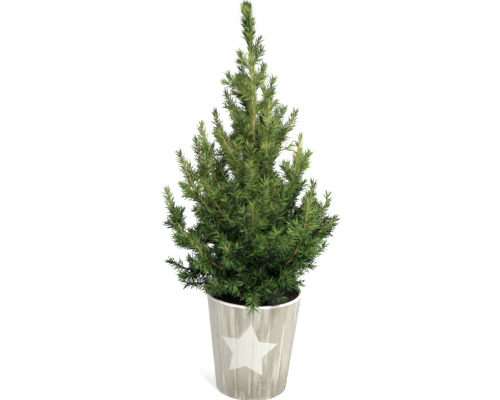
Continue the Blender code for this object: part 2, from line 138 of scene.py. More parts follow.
BOUGHS = (
    Shoot("left_high", 174, 0.070, 0.238, 0.374, 0.70, 0.00, 0.28),
    Shoot("left_long", -174, 0.100, 0.205, 0.338, 0.50, 0.00, 0.28),
    Shoot("left_wide", 180, 0.117, 0.172, 0.285, 0.95, 0.00, 0.34),
    Shoot("left_low", -171, 0.119, 0.158, 0.190, 0.60, 0.00, 0.34),
    Shoot("front_left_low", -143, 0.099, 0.1655, 0.232, 0.65, 0.00, 0.34),
    Shoot("front_left", -116, 0.089, 0.182, 0.234, 0.50, 0.00, 0.33),
    Shoot("front_right", -65, 0.068, 0.175, 0.249, 0.20, 0.00, 0.28),
    Shoot("right_low", -14, 0.100, 0.1635, 0.221, 0.30, 0.00, 0.34),
    Shoot("right_wide", -4, 0.110, 0.182, 0.254, 0.35, 0.00, 0.34),
    Shoot("right_long", 6, 0.098, 0.195, 0.282, 1.05, 0.00, 0.33),
    Shoot("right_high", 4, 0.061, 0.225, 0.362, 0.90, 0.00, 0.28),
    Shoot("right_upright", -27, 0.023, 0.290, 0.410, 1.05, 0.00, 0.24),
    Shoot("right_back", 30, 0.092, 0.205, 0.288, 1.00, 0.00, 0.33),
    Shoot("back", 100, 0.104, 0.197, 0.276, 0.70, 0.00, 0.33),
    Shoot("back_left", 132, 0.109, 0.181, 0.245, 0.65, 0.00, 0.34),
)

TRUNK_SHOOTS = (
    Shoot("left_middle", 165, 0.128, 0.192, 0.226, 0.40, 0.00, 0.0),
    Shoot("left_outer", -171, 0.077, 0.216, 0.357, 0.70, 0.00, 0.0),
    Shoot("left_inner", -155, 0.049, 0.304, 0.368, 0.35, 0.00, 0.0),
    Shoot("left_slim", 159, 0.055, 0.314, 0.388, 0.80, 0.00, 0.0),
    Shoot("right_inner", -45, 0.042, 0.249, 0.310, 0.70, 0.00, 0.0),
    Shoot("right_upper", 2, 0.056, 0.322, 0.395, 0.60, 0.00, 0.0),
    Shoot("right_front", -30, 0.081, 0.171, 0.290, 1.15, 0.00, 0.0),
    Shoot("front", -93, 0.056, 0.200, 0.284, 0.60, 0.00, 0.0),
    Shoot("front_left_high", -125, 0.065, 0.218, 0.269, 0.60, 0.00, 0.0),
    Shoot("back_right", 55, 0.100, 0.171, 0.236, 0.60, 0.00, 0.0),
    Shoot("back_high", 121, 0.060, 0.252, 0.344, 0.70, 0.00, 0.0),
    Shoot("back_left_high", 144, 0.083, 0.220, 0.304, 0.60, 0.00, 0.0),
    Shoot("left_rim", -161, 0.100, 0.149, 0.160, 0.00, 0.05, 0.0),
    Shoot("right_rim", -10, 0.084, 0.1565, 0.186, 0.00, 0.08, 0.0),
    Shoot("right_droop", -7, 0.068, 0.1495, 0.156, 0.00, 0.12, 0.0),
    Shoot("front_rim", -91, 0.078, 0.164, 0.140, 0.30, 0.20, 0.0),
    Shoot("front_left_rim", -118, 0.075, 0.155, 0.171, 0.00, 0.05, 0.0),
    Shoot("front_right_rim", -76, 0.067, 0.153, 0.166, 0.00, 0.06, 0.0),
    Shoot("back_rim", 109, 0.087, 0.152, 0.165, 0.00, 0.06, 0.0),
    Shoot("low_left_top", -158, 0.034, 0.360, 0.393, 0.40, 0.00, 0.0),
    Shoot("low_right_top", -8, 0.029, 0.387, 0.439, 0.50, 0.00, 0.0),
    Shoot("left_top", 178, 0.033, 0.406, 0.442, 0.30, 0.00, 0.0),
    Shoot("right_top", -20, 0.018, 0.426, 0.456, 0.40, 0.00, 0.0),
    Shoot("high_left_top", -157, 0.018, 0.445, 0.473, 0.30, 0.00, 0.0),
    Shoot("high_right_top", 20, 0.015, 0.451, 0.476, 0.40, 0.00, 0.0),
    Shoot("back_top", 99, 0.030, 0.381, 0.423, 0.50, 0.00, 0.0),
)

# The minor shoots between the others, which only the looks have, by golden turns up the trunk.
MINOR_TIPS = (0.165, 0.455)
MINOR_STEP = 0.0030
MINOR_REACH = (0.50, 0.88)
MINOR_RISE_HEIGHTS = (0.16, 0.22, 0.30, 0.45)
MINOR_RISES = (0.15, 0.55, 1.20, 1.40)
MINOR_RISE_SPREAD = (0.8, 1.25)
MINOR_LOWEST = 0.148
MINOR_SWEEP = 0.6
MINOR_SEED = 21
MINOR_TRIES = 10
MINOR_CLEARANCE = 0.0068
MINOR_FREE_FROM = 0.5
MINOR_RADIUS = 0.0013
MINOR_TIP_RADIUS = 0.0008

# Where the photograph shows sky through the crown: pixel across, pixel down and radius in pixels.
SKY_GAPS = np.array((
    (213.0, 165.0, 1.8), (222.0, 183.0, 1.5), (241.0, 155.0, 1.4), (235.0, 172.0, 1.3), (245.0, 182.0, 1.3),
    (202.0, 193.0, 1.6), (187.0, 213.0, 2.6), (189.0, 219.0, 2.2), (186.0, 229.0, 2.8), (202.0, 238.0, 1.8),
    (211.0, 245.0, 2.4), (213.0, 254.0, 2.2), (185.0, 265.0, 3.2), (210.0, 275.0, 2.2), (218.0, 279.0, 2.0),
    (232.0, 273.0, 2.0), (299.0, 203.0, 2.6), (292.0, 212.0, 1.8), (270.0, 227.0, 1.4), (282.0, 235.0, 1.6),
    (276.0, 273.0, 2.2), (299.0, 272.0, 3.0), (305.0, 260.0, 2.0), (324.0, 199.0, 2.4), (293.0, 136.0, 4.0),
    (288.0, 144.0, 4.0), (284.0, 152.0, 3.5), (279.0, 160.0, 3.0), (275.0, 167.0, 1.8), (286.0, 181.0, 1.8),
    (224.0, 112.0, 4.0), (227.0, 120.0, 4.0), (229.0, 128.0, 2.6), (217.0, 145.0, 1.6), (220.0, 157.0, 1.6),
    (238.0, 150.0, 1.4), (234.0, 163.0, 1.4), (244.0, 163.0, 1.3), (234.0, 178.0, 1.4), (210.0, 138.0, 1.6),
    (211.0, 174.0, 1.4), (226.0, 168.0, 1.4), (229.0, 146.0, 1.4), (205.0, 158.0, 1.3), (250.0, 75.0, 1.2),
    (262.0, 99.0, 2.2), (259.0, 90.0, 1.8), (239.0, 101.0, 1.8), (268.0, 120.0, 1.4),
))
GAP_MARGIN = 1.5
STRAY_SHARE = 0.2

# The stems that nothing but their own needles hides in the photograph.
SHOWN_SHOOTS = ("front", "front_right", "right_front", "right_upright", "left_long", "left_wide", "left_high",
                "left_outer", "left_top", "right_top", "high_left_top", "high_right_top")
SHOWN_FROM = 0.3
SHOWN_ROOM = 4.0
SHOWN_SHARE = 0.2
PARTED_AIM = 0.3
PARTED_SHARE = 0.5
PARTED_TO = 0.62

# The shoots of the dark core and the finer twigs.
# The upright twigs of the leading shoot: how far below its end, how many, how long, and how far they lean.
TUFT_TWIGS = ((0.018, 7, 0.0175, 18.0), (0.033, 4, 0.0150, 33.0), (0.047, 3, 0.0130, 36.0))
INNER_HEIGHTS = (0.155, 0.345)
INNER_STEP = 0.0060
INNER_REACH = (0.22, 0.42)
INNER_RISE = (0.8, 1.7)
INNER_SWEEP = 0.7
INNER_RADIUS = 0.0012
INNER_TIP_RADIUS = 0.0007
INNER_TRIES = 8
TRUNK_SHOWS_FROM = 0.305
INNER_CLEARANCE = 0.0035
FINE_STEP = 0.0075
FINE_LENGTH = (0.013, 0.027)
FINE_SPAN = {"trunk": 1.0, "limb": 1.0, "stem": 0.60, "side": 0.55, "minor": 0.5, "inner": 0.6}
FINE_DWINDLE = 0.35
FINE_SHARE = 0.45
FINE_TRIES = 6
FINE_CLEARANCE = 0.0042
REACH_SLACK = 0.004

NEEDLE_LENGTH = (0.0145, 0.0110)
NEEDLE_WIDTH = 0.0013
NEEDLES_PER_METRE = 2700.0
NEEDLES_PER_PIECE = 19500
TRUNK_DENSITY = 1.5
TRUNK_LEAN_ANGLE = math.radians(24.0)
THINNING = 0.38
NEEDLE_BOW = 0.10
LEAN_LOW = math.radians(66.0)
LEAN_HIGH = math.radians(42.0)
TIP_LEAN_LOW = math.radians(36.0)
TIP_LEAN_HIGH = math.radians(20.0)
LEAN_SPREAD = 0.20
TIP_ZONE = 0.011
GREEN_TRUNK_FROM = 0.285

# The twigs' pieces: name, sides of the tubes and sRGB colour.
TWIG_PIECES = (
    ("young_stems", 8, (202, 170, 112)),
    ("green_twigs", 6, (132, 122, 70)),
    ("brown_twigs", 5, (72, 60, 38)),
)
TAN_STEMS = (0.205, 0.415)
GREEN_TWIG_FROM = 0.255

# The greens, from the shaded inside to the tips, as sRGB colours. The darker greens are partly the older needles'
# own colour and partly painted shade for the crown's inside and low parts; the lighter ones are partly new growth
# and partly painted light on the crown's skin, top and forward shoots.
GREENS = (
    ("deep_shade", (9, 29, 14)),
    ("shade", (43, 74, 35)),
    ("middle", (80, 118, 55)),
    ("light", (120, 154, 74)),
    ("bright", (157, 177, 95)),
    ("fresh", (188, 202, 116)),
)
DARKEST_GREENS = 3
# The olive greens that take the place of most of the darkest three, high on the plant.
OLIVES = (
    ("dark_olive", (64, 82, 34)),
    ("olive", (100, 119, 57)),
)
OLIVE_FROM = 0.30
OLIVE_SHARE = 0.7

# Named shoots that are lighter or darker than others at their place: partly their own green and partly painted light
# and shade, set to how lit or shaded each shoot looks; the inner and minor shoots get painted shade of the crown's
# core.
SPRAY_BIAS = {
    "leader": -0.3, "trunk": 0.9, "minor": -0.9, "inner": -0.8,
    "left_low": -1.2, "left_rim": -0.8, "left_wide": -0.5, "left_long": -0.4, "left_high": -0.3,
    "left_outer": -0.2, "left_middle": -0.8, "left_inner": 0.3, "left_slim": 0.0, "left_top": -0.8,
    "front_left_low": -0.9, "front_left": -0.3, "front": 1.6, "front_right": 2.0, "front_rim": -0.7,
    "front_left_rim": 0.3, "front_right_rim": -0.5, "right_front": 0.3, "right_inner": 0.8,
    "right_upright": 1.4, "right_upper": 0.1, "right_high": 0.2, "right_rim": 0.6, "right_droop": 0.6,
    "right_low": -0.4, "right_wide": -0.1, "right_long": -1.4, "right_back": -1.6, "right_top": -0.4,
    "back_high": 1.1, "back_rim": -0.4, "back_top": 0.4, "low_left_top": 0.7, "low_right_top": 0.4,
    "high_left_top": -1.2, "high_right_top": -0.5,
}


def linear(colour):
    """An sRGB colour of 0 to 255 as the linear values that a shader takes."""
    values = []
    for part in colour:
        share = part / 255.0
        values.append(share / 12.92 if share <= 0.04045 else ((share + 0.055) / 1.055) ** 2.4)
    return (*values, 1.0)


# Materials.

class Nodes:
    """Short calls for building one material's node tree."""

    def __init__(self, name, roughness, **constants):
        self.material = bpy.data.materials.new(name)
        self.material.use_nodes = True
        self.tree = self.material.node_tree
        self.shader = self.tree.nodes["Principled BSDF"]
        self.shader.inputs["Roughness"].default_value = roughness
        for socket, value in constants.items():
            self.shader.inputs[socket.replace("_", " ")].default_value = value

    def link(self, source, target):
        self.tree.links.new(source, target)

    def feed(self, socket, value):
        if isinstance(value, bpy.types.NodeSocket):
            self.link(value, socket)
        else:
            socket.default_value = value

    def place(self):
        return self.tree.nodes.new("ShaderNodeTexCoord").outputs["Object"]

    def split(self, vector):
        node = self.tree.nodes.new("ShaderNodeSeparateXYZ")
        self.link(vector, node.inputs[0])
        return node.outputs

    def scaled(self, vector, scale):
        node = self.tree.nodes.new("ShaderNodeMapping")
        self.link(vector, node.inputs["Vector"])
        node.inputs["Scale"].default_value = scale
        return node.outputs["Vector"]

    def math(self, operation, first, second=0.0, clamp=False):
        node = self.tree.nodes.new("ShaderNodeMath")
        node.operation = operation
        node.use_clamp = clamp
        self.feed(node.inputs[0], first)
        self.feed(node.inputs[1], second)
        return node.outputs[0]

    def noise(self, vector, scale, detail=3.0, roughness=0.55):
        node = self.tree.nodes.new("ShaderNodeTexNoise")
        self.link(vector, node.inputs["Vector"])
        node.inputs["Scale"].default_value = scale
        node.inputs["Detail"].default_value = detail
        node.inputs["Roughness"].default_value = roughness
        return node.outputs["Fac"]

    def band(self, value, low, high):
        """0 below low, 1 above high, smooth between."""
        node = self.tree.nodes.new("ShaderNodeMapRange")
        node.interpolation_type = "SMOOTHSTEP"
        self.feed(node.inputs["Value"], value)
        node.inputs["From Min"].default_value = low
        node.inputs["From Max"].default_value = high
        return node.outputs["Result"]

    def mix(self, share, first, second):
        node = self.tree.nodes.new("ShaderNodeMix")
        node.data_type = "RGBA"
        self.feed(node.inputs[0], share)
        self.feed(node.inputs[6], first)
        self.feed(node.inputs[7], second)
        return node.outputs[2]

    def bump(self, height, strength, distance):
        node = self.tree.nodes.new("ShaderNodeBump")
        node.inputs["Strength"].default_value = strength
        node.inputs["Distance"].default_value = distance
        self.link(height, node.inputs["Height"])
        self.link(node.outputs["Normal"], self.shader.inputs["Normal"])

    def colour(self, value):
        self.feed(self.shader.inputs["Base Color"], value)


def plank_number(nodes, spot):
    """Which plank a point of the pot lies on, and how far across it, from 0 to 1."""
    parts = nodes.split(spot)
    turn = nodes.math("ARCTAN2", parts[1], parts[0])
    planks = nodes.math("MULTIPLY", nodes.math("ADD", turn, 2.0 * math.pi), PLANKS / (2.0 * math.pi))
    return nodes.math("FLOOR", planks), nodes.math("FRACT", planks), parts[2]


def pot_material():
    """Whitewashed planks under a thin glaze, with an off-white rim; a painted highlight along one edge of each plank
    and painted light on the left side.
    """
    nodes = Nodes("glazed_planks", 0.34, Coat_Weight=0.25, Coat_Roughness=0.25)
    spot = nodes.place()
    plank, across, height = plank_number(nodes, spot)
    tones = nodes.tree.nodes.new("ShaderNodeTexWhiteNoise")
    tones.noise_dimensions = "1D"
    nodes.link(plank, tones.inputs["W"])
    tone = tones.outputs["Value"]
    shifted = nodes.tree.nodes.new("ShaderNodeVectorMath")
    shifted.operation = "ADD"
    nodes.link(spot, shifted.inputs[0])
    nodes.link(tones.outputs["Color"], shifted.inputs[1])
    grain_spot = shifted.outputs["Vector"]
    colour = nodes.mix(tone, linear((186, 183, 168)), linear((164, 159, 142)))
    low = nodes.band(nodes.math("ADD", height, nodes.math("MULTIPLY", tone, 0.03)), 0.070, 0.020)
    colour = nodes.mix(nodes.math("MULTIPLY", low, 0.9), colour, linear((130, 125, 107)))
    broad = nodes.noise(nodes.scaled(grain_spot, (110.0, 110.0, 7.0)), 1.0, 3.0)
    colour = nodes.mix(nodes.math("MULTIPLY", nodes.band(broad, 0.48, 0.66), 0.7), colour,
                       linear((142, 136, 118)))
    knots = nodes.noise(nodes.scaled(grain_spot, (75.0, 75.0, 22.0)), 1.0, 2.0)
    colour = nodes.mix(nodes.math("MULTIPLY", nodes.band(knots, 0.58, 0.70), 0.6), colour,
                       linear((148, 124, 98)))
    wash = nodes.noise(nodes.scaled(grain_spot, (95.0, 95.0, 5.0)), 1.0, 4.0, 0.6)
    colour = nodes.mix(nodes.math("MULTIPLY", nodes.band(wash, 0.50, 0.68), 0.75), colour,
                       linear((202, 200, 188)))
    brushed = nodes.noise(nodes.scaled(grain_spot, (70.0, 70.0, 620.0)), 1.0, 3.0)
    colour = nodes.mix(nodes.math("MULTIPLY", nodes.band(brushed, 0.52, 0.72), 0.35), colour,
                       linear((200, 198, 184)))
    fine = nodes.noise(nodes.scaled(grain_spot, (1300.0, 1300.0, 60.0)), 1.0, 2.0)
    colour = nodes.mix(nodes.math("MULTIPLY", nodes.band(fine, 0.5, 0.75), 0.4), colour,
                       linear((126, 119, 102)))
    edge = nodes.math("ABSOLUTE", nodes.math("SUBTRACT", across, 0.5))
    groove = nodes.band(edge, 0.468, 0.497)
    colour = nodes.mix(nodes.math("MULTIPLY", groove, 0.5), colour, linear((124, 118, 102)))
    # Painted highlight: a pale line near one edge of every plank, standing in for the plank edges catching the
    # light, broken into patches.
    painted_edge_highlight = nodes.math("MULTIPLY", nodes.band(across, 0.74, 0.90), nodes.band(across, 0.985, 0.93))
    patchy = nodes.noise(nodes.scaled(grain_spot, (60.0, 60.0, 14.0)), 1.0, 3.0)
    painted_edge_highlight = nodes.math("MULTIPLY", painted_edge_highlight, nodes.band(patchy, 0.42, 0.62))
    colour = nodes.mix(nodes.math("MULTIPLY", painted_edge_highlight, 0.75), colour, linear((216, 215, 205)))
    flecks = nodes.noise(nodes.scaled(spot, (420.0, 420.0, 300.0)), 1.0, 2.0, 0.7)
    wobble = nodes.math("MULTIPLY", nodes.noise(nodes.scaled(spot, (90.0, 90.0, 90.0)), 1.0), 0.0022)
    level = nodes.math("ADD", height, wobble)
    under_rim = nodes.math("MULTIPLY", nodes.band(level, POT_HEIGHT - 0.0042, POT_HEIGHT - 0.0030),
                           nodes.band(flecks, 0.52, 0.62))
    colour = nodes.mix(nodes.math("MULTIPLY", under_rim, 0.75), colour, linear((96, 86, 72)))
    foot = nodes.math("MULTIPLY", nodes.math("SUBTRACT", 1.0, nodes.band(level, 0.0035, 0.0075)),
                      nodes.band(flecks, 0.48, 0.60))
    colour = nodes.mix(nodes.math("MULTIPLY", foot, 0.7), colour, linear((232, 229, 220)))
    # Painted light: the pot's left side is made lighter, standing in for light falling on that side.
    left = nodes.band(nodes.split(spot)[0], -0.024, -0.040)
    colour = nodes.mix(nodes.math("MULTIPLY", left, 0.35), colour, linear((206, 202, 187)))
    rim = nodes.band(level, POT_HEIGHT - 0.0022, POT_HEIGHT - 0.0013)
    colour = nodes.mix(rim, colour, linear((236, 235, 228)))
    nodes.colour(colour)
    height_map = nodes.math("ADD", nodes.math("MULTIPLY", fine, 0.5), nodes.math("MULTIPLY", broad, 0.8))
    nodes.bump(height_map, 0.35, 0.0006)
    return nodes.material


def star_material():
    """Thin off-white paint, with the planks' joints and streaks faintly showing."""
    nodes = Nodes("star_paint", 0.38, Coat_Weight=0.25, Coat_Roughness=0.25)
    spot = nodes.place()
    across = plank_number(nodes, spot)[1]
    streaks = nodes.noise(nodes.scaled(spot, (520.0, 520.0, 18.0)), 1.0, 4.0)
    colour = nodes.mix(nodes.math("MULTIPLY", nodes.band(streaks, 0.45, 0.75), 0.55),
                       linear((211, 210, 201)), linear((199, 197, 186)))
    edge = nodes.math("ABSOLUTE", nodes.math("SUBTRACT", across, 0.5))
    colour = nodes.mix(nodes.math("MULTIPLY", nodes.band(edge, 0.465, 0.497), 0.3), colour,
                       linear((182, 179, 168)))
    nodes.colour(colour)
    nodes.bump(streaks, 0.2, 0.0004)
    return nodes.material


def soil_material():
    """Moist dark peat with browner crumbs."""
    nodes = Nodes("potting_mix", 0.95)
    spot = nodes.place()
    grains = nodes.noise(nodes.scaled(spot, (420.0, 420.0, 420.0)), 1.0, 4.0, 0.7)
    colour = nodes.mix(nodes.band(grains, 0.42, 0.72), linear((22, 14, 11)), linear((62, 40, 28)))
    nodes.colour(colour)
    nodes.bump(grains, 0.8, 0.0008)
    return nodes.material


def bark_material(name, low_colour, high_colour, crack_colour, low, high, stretch):
    """Bark whose colour changes with height, with lengthwise cracks."""
    nodes = Nodes(name, 0.85)
    spot = nodes.place()
    height = nodes.split(spot)[2]
    patches = nodes.noise(nodes.scaled(spot, (260.0, 260.0, 120.0)), 1.0, 4.0)
    level = nodes.math("ADD", height, nodes.math("MULTIPLY", patches, 0.05))
    colour = nodes.mix(nodes.band(level, low, high), linear(low_colour), linear(high_colour))
    cracks = nodes.noise(nodes.scaled(spot, (900.0, 900.0, stretch)), 1.0, 3.0, 0.6)
    colour = nodes.mix(nodes.math("MULTIPLY", nodes.band(cracks, 0.5, 0.7), 0.7), colour,
                       linear(crack_colour))
    nodes.colour(colour)
    nodes.bump(cracks, 0.6, 0.0006)
    return nodes.material


def plain_material(name, colour, roughness):
    nodes = Nodes(name, roughness, Specular_IOR_Level=0.35)
    nodes.colour(linear(colour))
    return nodes.material


# Meshes.

def add_piece(name, mesh, material, slot, *replaced, smooth=True):
    """Put a finished mesh in the scene, riding on the one body."""
    mesh.materials.append(material)
    piece = bpy.data.objects.new(name, mesh)
    bpy.context.scene.collection.objects.link(piece)
    mesh.polygons.foreach_set("use_smooth", [smooth] * len(mesh.polygons))
    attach(piece, "root")
    if replaced:
        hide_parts(*replaced)
    return piece


def mesh_from(name, points, faces):
    """A mesh from an array of points and an array of equal-sided faces."""
    mesh = bpy.data.meshes.new(name)
    sides = faces.shape[1]
    mesh.vertices.add(len(points))
    mesh.vertices.foreach_set("co", np.asarray(points, np.float32).ravel())
    mesh.loops.add(faces.size)
    mesh.loops.foreach_set("vertex_index", faces.astype(np.int32).ravel())
    mesh.polygons.add(len(faces))
    mesh.polygons.foreach_set("loop_start", np.arange(0, faces.size, sides, dtype=np.int32))
    mesh.update(calc_edges=True)
    mesh.validate()
    return mesh


def noise_at(point, scale):
    return noise.noise(Vector(point) * scale)


# The pot.

def pot_radius(height):
    """The pot's outer radius, rounded in at the foot."""
    side = POT_FOOT_RADIUS + (POT_TOP_RADIUS - POT_FOOT_RADIUS) * height / POT_HEIGHT
    if height < POT_FOOT_ROUND:
        drop = POT_FOOT_ROUND - max(height, 0.0)
        side -= POT_FOOT_ROUND - math.sqrt(max(POT_FOOT_ROUND ** 2 - drop ** 2, 0.0))
    return side


def plank_relief(turn, height):
    """How far the outer face stands off the plain taper: grooves, uneven planks and grain."""
    pitch = 2.0 * math.pi / PLANKS
    plank = math.floor(turn / pitch)
    across = turn / pitch - plank
    radius = pot_radius(height)
    distance = min(across, 1.0 - across) * pitch * radius
    fade = min(max((height - 0.004) / 0.004, 0.0), 1.0)
    fade *= min(max((POT_HEIGHT - 0.0025 - height) / 0.003, 0.0), 1.0)
    groove = -GROOVE_DEPTH * math.exp(-(distance / GROOVE_WIDTH) ** 2)
    rng = random.Random(plank % PLANKS)
    level = rng.uniform(-0.00025, 0.0002) + (across - 0.5) * rng.uniform(-0.0006, 0.0006)
    spot = (radius * math.cos(turn), radius * math.sin(turn), height * 0.05)
    grain = 0.00012 * noise_at(spot, 420.0)
    return fade * (groove + level + grain)


def pot_profile():
    """Radius, height and relief share down the outer face, over the rim and down inside."""
    top = POT_HEIGHT
    places = [(0.0, 0.0, 0.0), (POT_FOOT_RADIUS - POT_FOOT_ROUND, 0.0, 0.0)]
    for step in range(1, 7):
        height = POT_FOOT_ROUND * (1.0 - math.cos(step / 6.0 * math.pi / 2.0))
        places.append((pot_radius(height), height, 1.0))
    rows = 40
    side_top = top - RIM_BEAD
    for row in range(1, rows + 1):
        height = POT_FOOT_ROUND + (side_top - POT_FOOT_ROUND) * row / rows
        places.append((pot_radius(height), height, 1.0))
    middle = pot_radius(top) - POT_WALL / 2.0
    for step in range(1, 12):
        angle = math.pi * step / 12.0
        places.append((middle + math.cos(angle) * POT_WALL / 2.0, side_top + math.sin(angle) * RIM_BEAD, 0.0))
    for height in (side_top, 0.125, 0.09, 0.04, POT_FLOOR + 0.002):
        places.append((pot_radius(height) - POT_WALL, height, 0.0))
    places.append((POT_FOOT_RADIUS - POT_WALL - 0.003, POT_FLOOR, 0.0))
    places.append((0.0, POT_FLOOR, 0.0))
    return places


def build_pot():
    """The pot: planks with grooves between them, a wavy beaded rim and a worn foot."""
    columns = PLANKS * PLANK_COLUMNS
    points = []
    for radius, height, relief in pot_profile():
        for column in range(columns):
            turn = 2.0 * math.pi * column / columns
            reach = radius
            if relief:
                reach += relief * plank_relief(turn, height)
            rise = min(max((height - (POT_HEIGHT - 0.006)) / 0.006, 0.0), 1.0)
            wave = RIM_WAVE * (noise_at((math.cos(turn), math.sin(turn), 0.0), 5.0) - 0.5) * rise
            points.append((reach * math.cos(turn), reach * math.sin(turn), height + wave))
    rows = len(points) // columns
    faces = []
    for row in range(rows - 1):
        for column in range(columns):
            after = (column + 1) % columns
            low, high = row * columns, (row + 1) * columns
            faces.append((low + column, low + after, high + after, high + column))
    shape = bmesh.new()
    made = [shape.verts.new(point) for point in points]
    for face in faces:
        shape.faces.new([made[index] for index in face])
    bmesh.ops.remove_doubles(shape, verts=shape.verts[:], dist=0.000001)
    mesh = bpy.data.meshes.new("glazed_pot")
    shape.to_mesh(mesh)
    shape.free()
    return add_piece("glazed_pot", mesh, pot_material(), "pot_glaze", "pot")


def build_star():
    """A five-pointed star of thin paint that follows the planks."""
    outline = []
    for corner in range(10):
        turn = STAR_TURN + corner * math.pi / 5.0
        reach = STAR_OUTER if corner % 2 == 0 else STAR_INNER
        outline.append((STAR_CENTRE[0] + reach * math.sin(turn), 0.0, STAR_CENTRE[1] + reach * math.cos(turn)))
    shape = bmesh.new()
    shape.faces.new([shape.verts.new(point) for point in outline])
    for axis, step in ((Vector((1.0, 0.0, 0.0)), 0.0009), (Vector((0.0, 0.0, 1.0)), 0.003)):
        middle = Vector((STAR_CENTRE[0], 0.0, STAR_CENTRE[1]))
        for number in range(-round(0.05 / step), round(0.05 / step) + 1):
            everything = shape.verts[:] + shape.edges[:] + shape.faces[:]
            bmesh.ops.bisect_plane(shape, geom=everything, plane_co=middle + axis * step * number,
                                   plane_no=axis, dist=0.000001)
    for vert in shape.verts:
        if vert.is_boundary:
            vert.co.x += STAR_WOBBLE * noise_at(vert.co, 260.0)
            vert.co.z += STAR_WOBBLE * noise_at(vert.co, -260.0)
    front = shape.faces[:]
    back = bmesh.ops.extrude_face_region(shape, geom=front)["geom"]
    behind = {item for item in back if isinstance(item, bmesh.types.BMVert)}
    middle_radius = (POT_TOP_RADIUS + POT_FOOT_RADIUS) / 2.0
    for vert in shape.verts:
        arc, _, height = vert.co
        angle = arc / middle_radius - math.pi / 2.0
        turn = angle % (2.0 * math.pi)
        reach = pot_radius(height) + plank_relief(turn, height)
        reach += -STAR_STAND if vert in behind else STAR_STAND
        vert.co = (reach * math.cos(angle), reach * math.sin(angle), height)
    bmesh.ops.recalc_face_normals(shape, faces=shape.faces[:])
    mesh = bpy.data.meshes.new("painted_star")
    shape.to_mesh(mesh)
    shape.free()
    return add_piece("painted_star", mesh, star_material(), "pot_glaze", smooth=False)


def build_soil():
    """The filling's crumbly top: an uneven plug and loose lumps on it."""
    rng = random.Random(3)
    rim_radius = pot_radius(SOIL_HEIGHT) - POT_WALL - 0.0004
    columns, rows = 120, 36
    points = [(0.0, 0.0, SOIL_HEIGHT)]
    for row in range(1, rows + 1):
        for column in range(columns):
            turn = 2.0 * math.pi * column / columns
            reach = rim_radius * row / rows
            spot = (reach * math.cos(turn), reach * math.sin(turn), 0.0)
            lift = 0.0016 * noise_at(spot, 120.0) + 0.0011 * noise_at(spot, 420.0)
            points.append((spot[0], spot[1], SOIL_HEIGHT - 0.0008 + lift))
    for column in range(columns):
        turn = 2.0 * math.pi * column / columns
        low = pot_radius(0.09) - POT_WALL - 0.0004
        points.append((low * math.cos(turn), low * math.sin(turn), 0.09))
    shape = bmesh.new()
    made = [shape.verts.new(point) for point in points]
    for column in range(columns):
        shape.faces.new((made[0], made[1 + column], made[1 + (column + 1) % columns]))
    for row in range(rows):
        for column in range(columns):
            after = (column + 1) % columns
            inner, outer = 1 + row * columns, 1 + (row + 1) * columns
            corners = (inner + column, outer + column, outer + after, inner + after)
            shape.faces.new([made[index] for index in corners])
    shape.faces.new([made[1 + rows * columns + column] for column in reversed(range(columns))])
    for _ in range(SOIL_CRUMBS):
        reach = rim_radius * 0.97 * math.sqrt(rng.random())
        turn = rng.uniform(0.0, 2.0 * math.pi)
        size = rng.choice((0.0007, 0.001, 0.0014, 0.002))
        centre = Vector((reach * math.cos(turn), reach * math.sin(turn), SOIL_HEIGHT - 0.0004 + size * 0.3))
        spin = Matrix.Rotation(rng.uniform(0.0, 6.28), 4, Vector((rng.random(), rng.random(), 1.0)))
        stretch = Matrix.Diagonal((1.0, rng.uniform(0.6, 1.0), rng.uniform(0.45, 0.9), 1.0))
        lump = bmesh.ops.create_icosphere(shape, subdivisions=1, radius=size,
                                          matrix=Matrix.Translation(centre) @ spin @ stretch)
        for vert in lump["verts"]:
            vert.co += (vert.co - centre) * rng.uniform(-0.25, 0.25)
    bmesh.ops.recalc_face_normals(shape, faces=shape.faces[:])
    mesh = bpy.data.meshes.new("crumbly_mix")
    shape.to_mesh(mesh)
    shape.free()
    return add_piece("crumbly_mix", mesh, soil_material(), "soil", "potting_mix", smooth=False)


def clear_of_pot(point, room):
    """Is the point outside the pot and above its filling, with this much room?"""
    out = math.hypot(point[0], point[1])
    if point[2] > POT_HEIGHT + room:
        return True
    if point[2] > SOIL_HEIGHT + room and out < pot_radius(SOIL_HEIGHT) - POT_WALL - room:
        return True
    return point[2] > room and out > pot_radius(point[2]) + room


# Paths, by the solids' rule.

def bend(start, middle, end, share):
    rest = 1.0 - share
    return rest * rest * start + 2.0 * rest * share * middle + share * share * end


def path_length(points):
    return sum((after - before).length for before, after in zip(points, points[1:]))


def spaced(points, step):
    """The same path with points an even step apart, ends included."""
    total = path_length(points)
    count = max(2, round(total / step))
    kept = [points[0]]
    walked = 0.0
    index = 0
    for number in range(1, count):
        mark = total * number / count
        while walked + (points[index + 1] - points[index]).length < mark:
            walked += (points[index + 1] - points[index]).length
            index += 1
        span = (points[index + 1] - points[index]).length
        kept.append(points[index].lerp(points[index + 1], (mark - walked) / span))
    return kept + [points[-1]]


def even_path(start, middle, end, step):
    fine = [bend(start, middle, end, index / CURVE_STEPS) for index in range(CURVE_STEPS + 1)]
    return spaced(fine, step)


def cut_path(points, start, end):
    """The part of a path between two lengths along it."""
    kept = []
    walked = 0.0
    for before, after in zip(points, points[1:]):
        span = (after - before).length
        for mark in (start, end):
            if walked <= mark < walked + span:
                kept.append(before.lerp(after, (mark - walked) / span))
        walked += span
        if start < walked < end:
            kept.append(after)
    return kept


def directions(points, first=None):
    headings = []
    last = len(points) - 1
    for index in range(len(points)):
        ahead = points[min(index + 1, last)] - points[max(index - 1, 0)]
        headings.append(ahead.normalized())
    if first is not None:
        headings[0] = first
    return headings


def frame_at(direction, turn=0.0):
    """Two unit vectors across a direction, turned about it."""
    direction = direction.normalized()
    side = direction.cross(Vector((0.0, 0.0, 1.0)))
    if side.length < 0.05:
        side = Vector((0.0, 1.0, 0.0))
    side.normalize()
    spin = Matrix.Rotation(turn, 3, direction)
    return spin @ side, spin @ direction.cross(side)


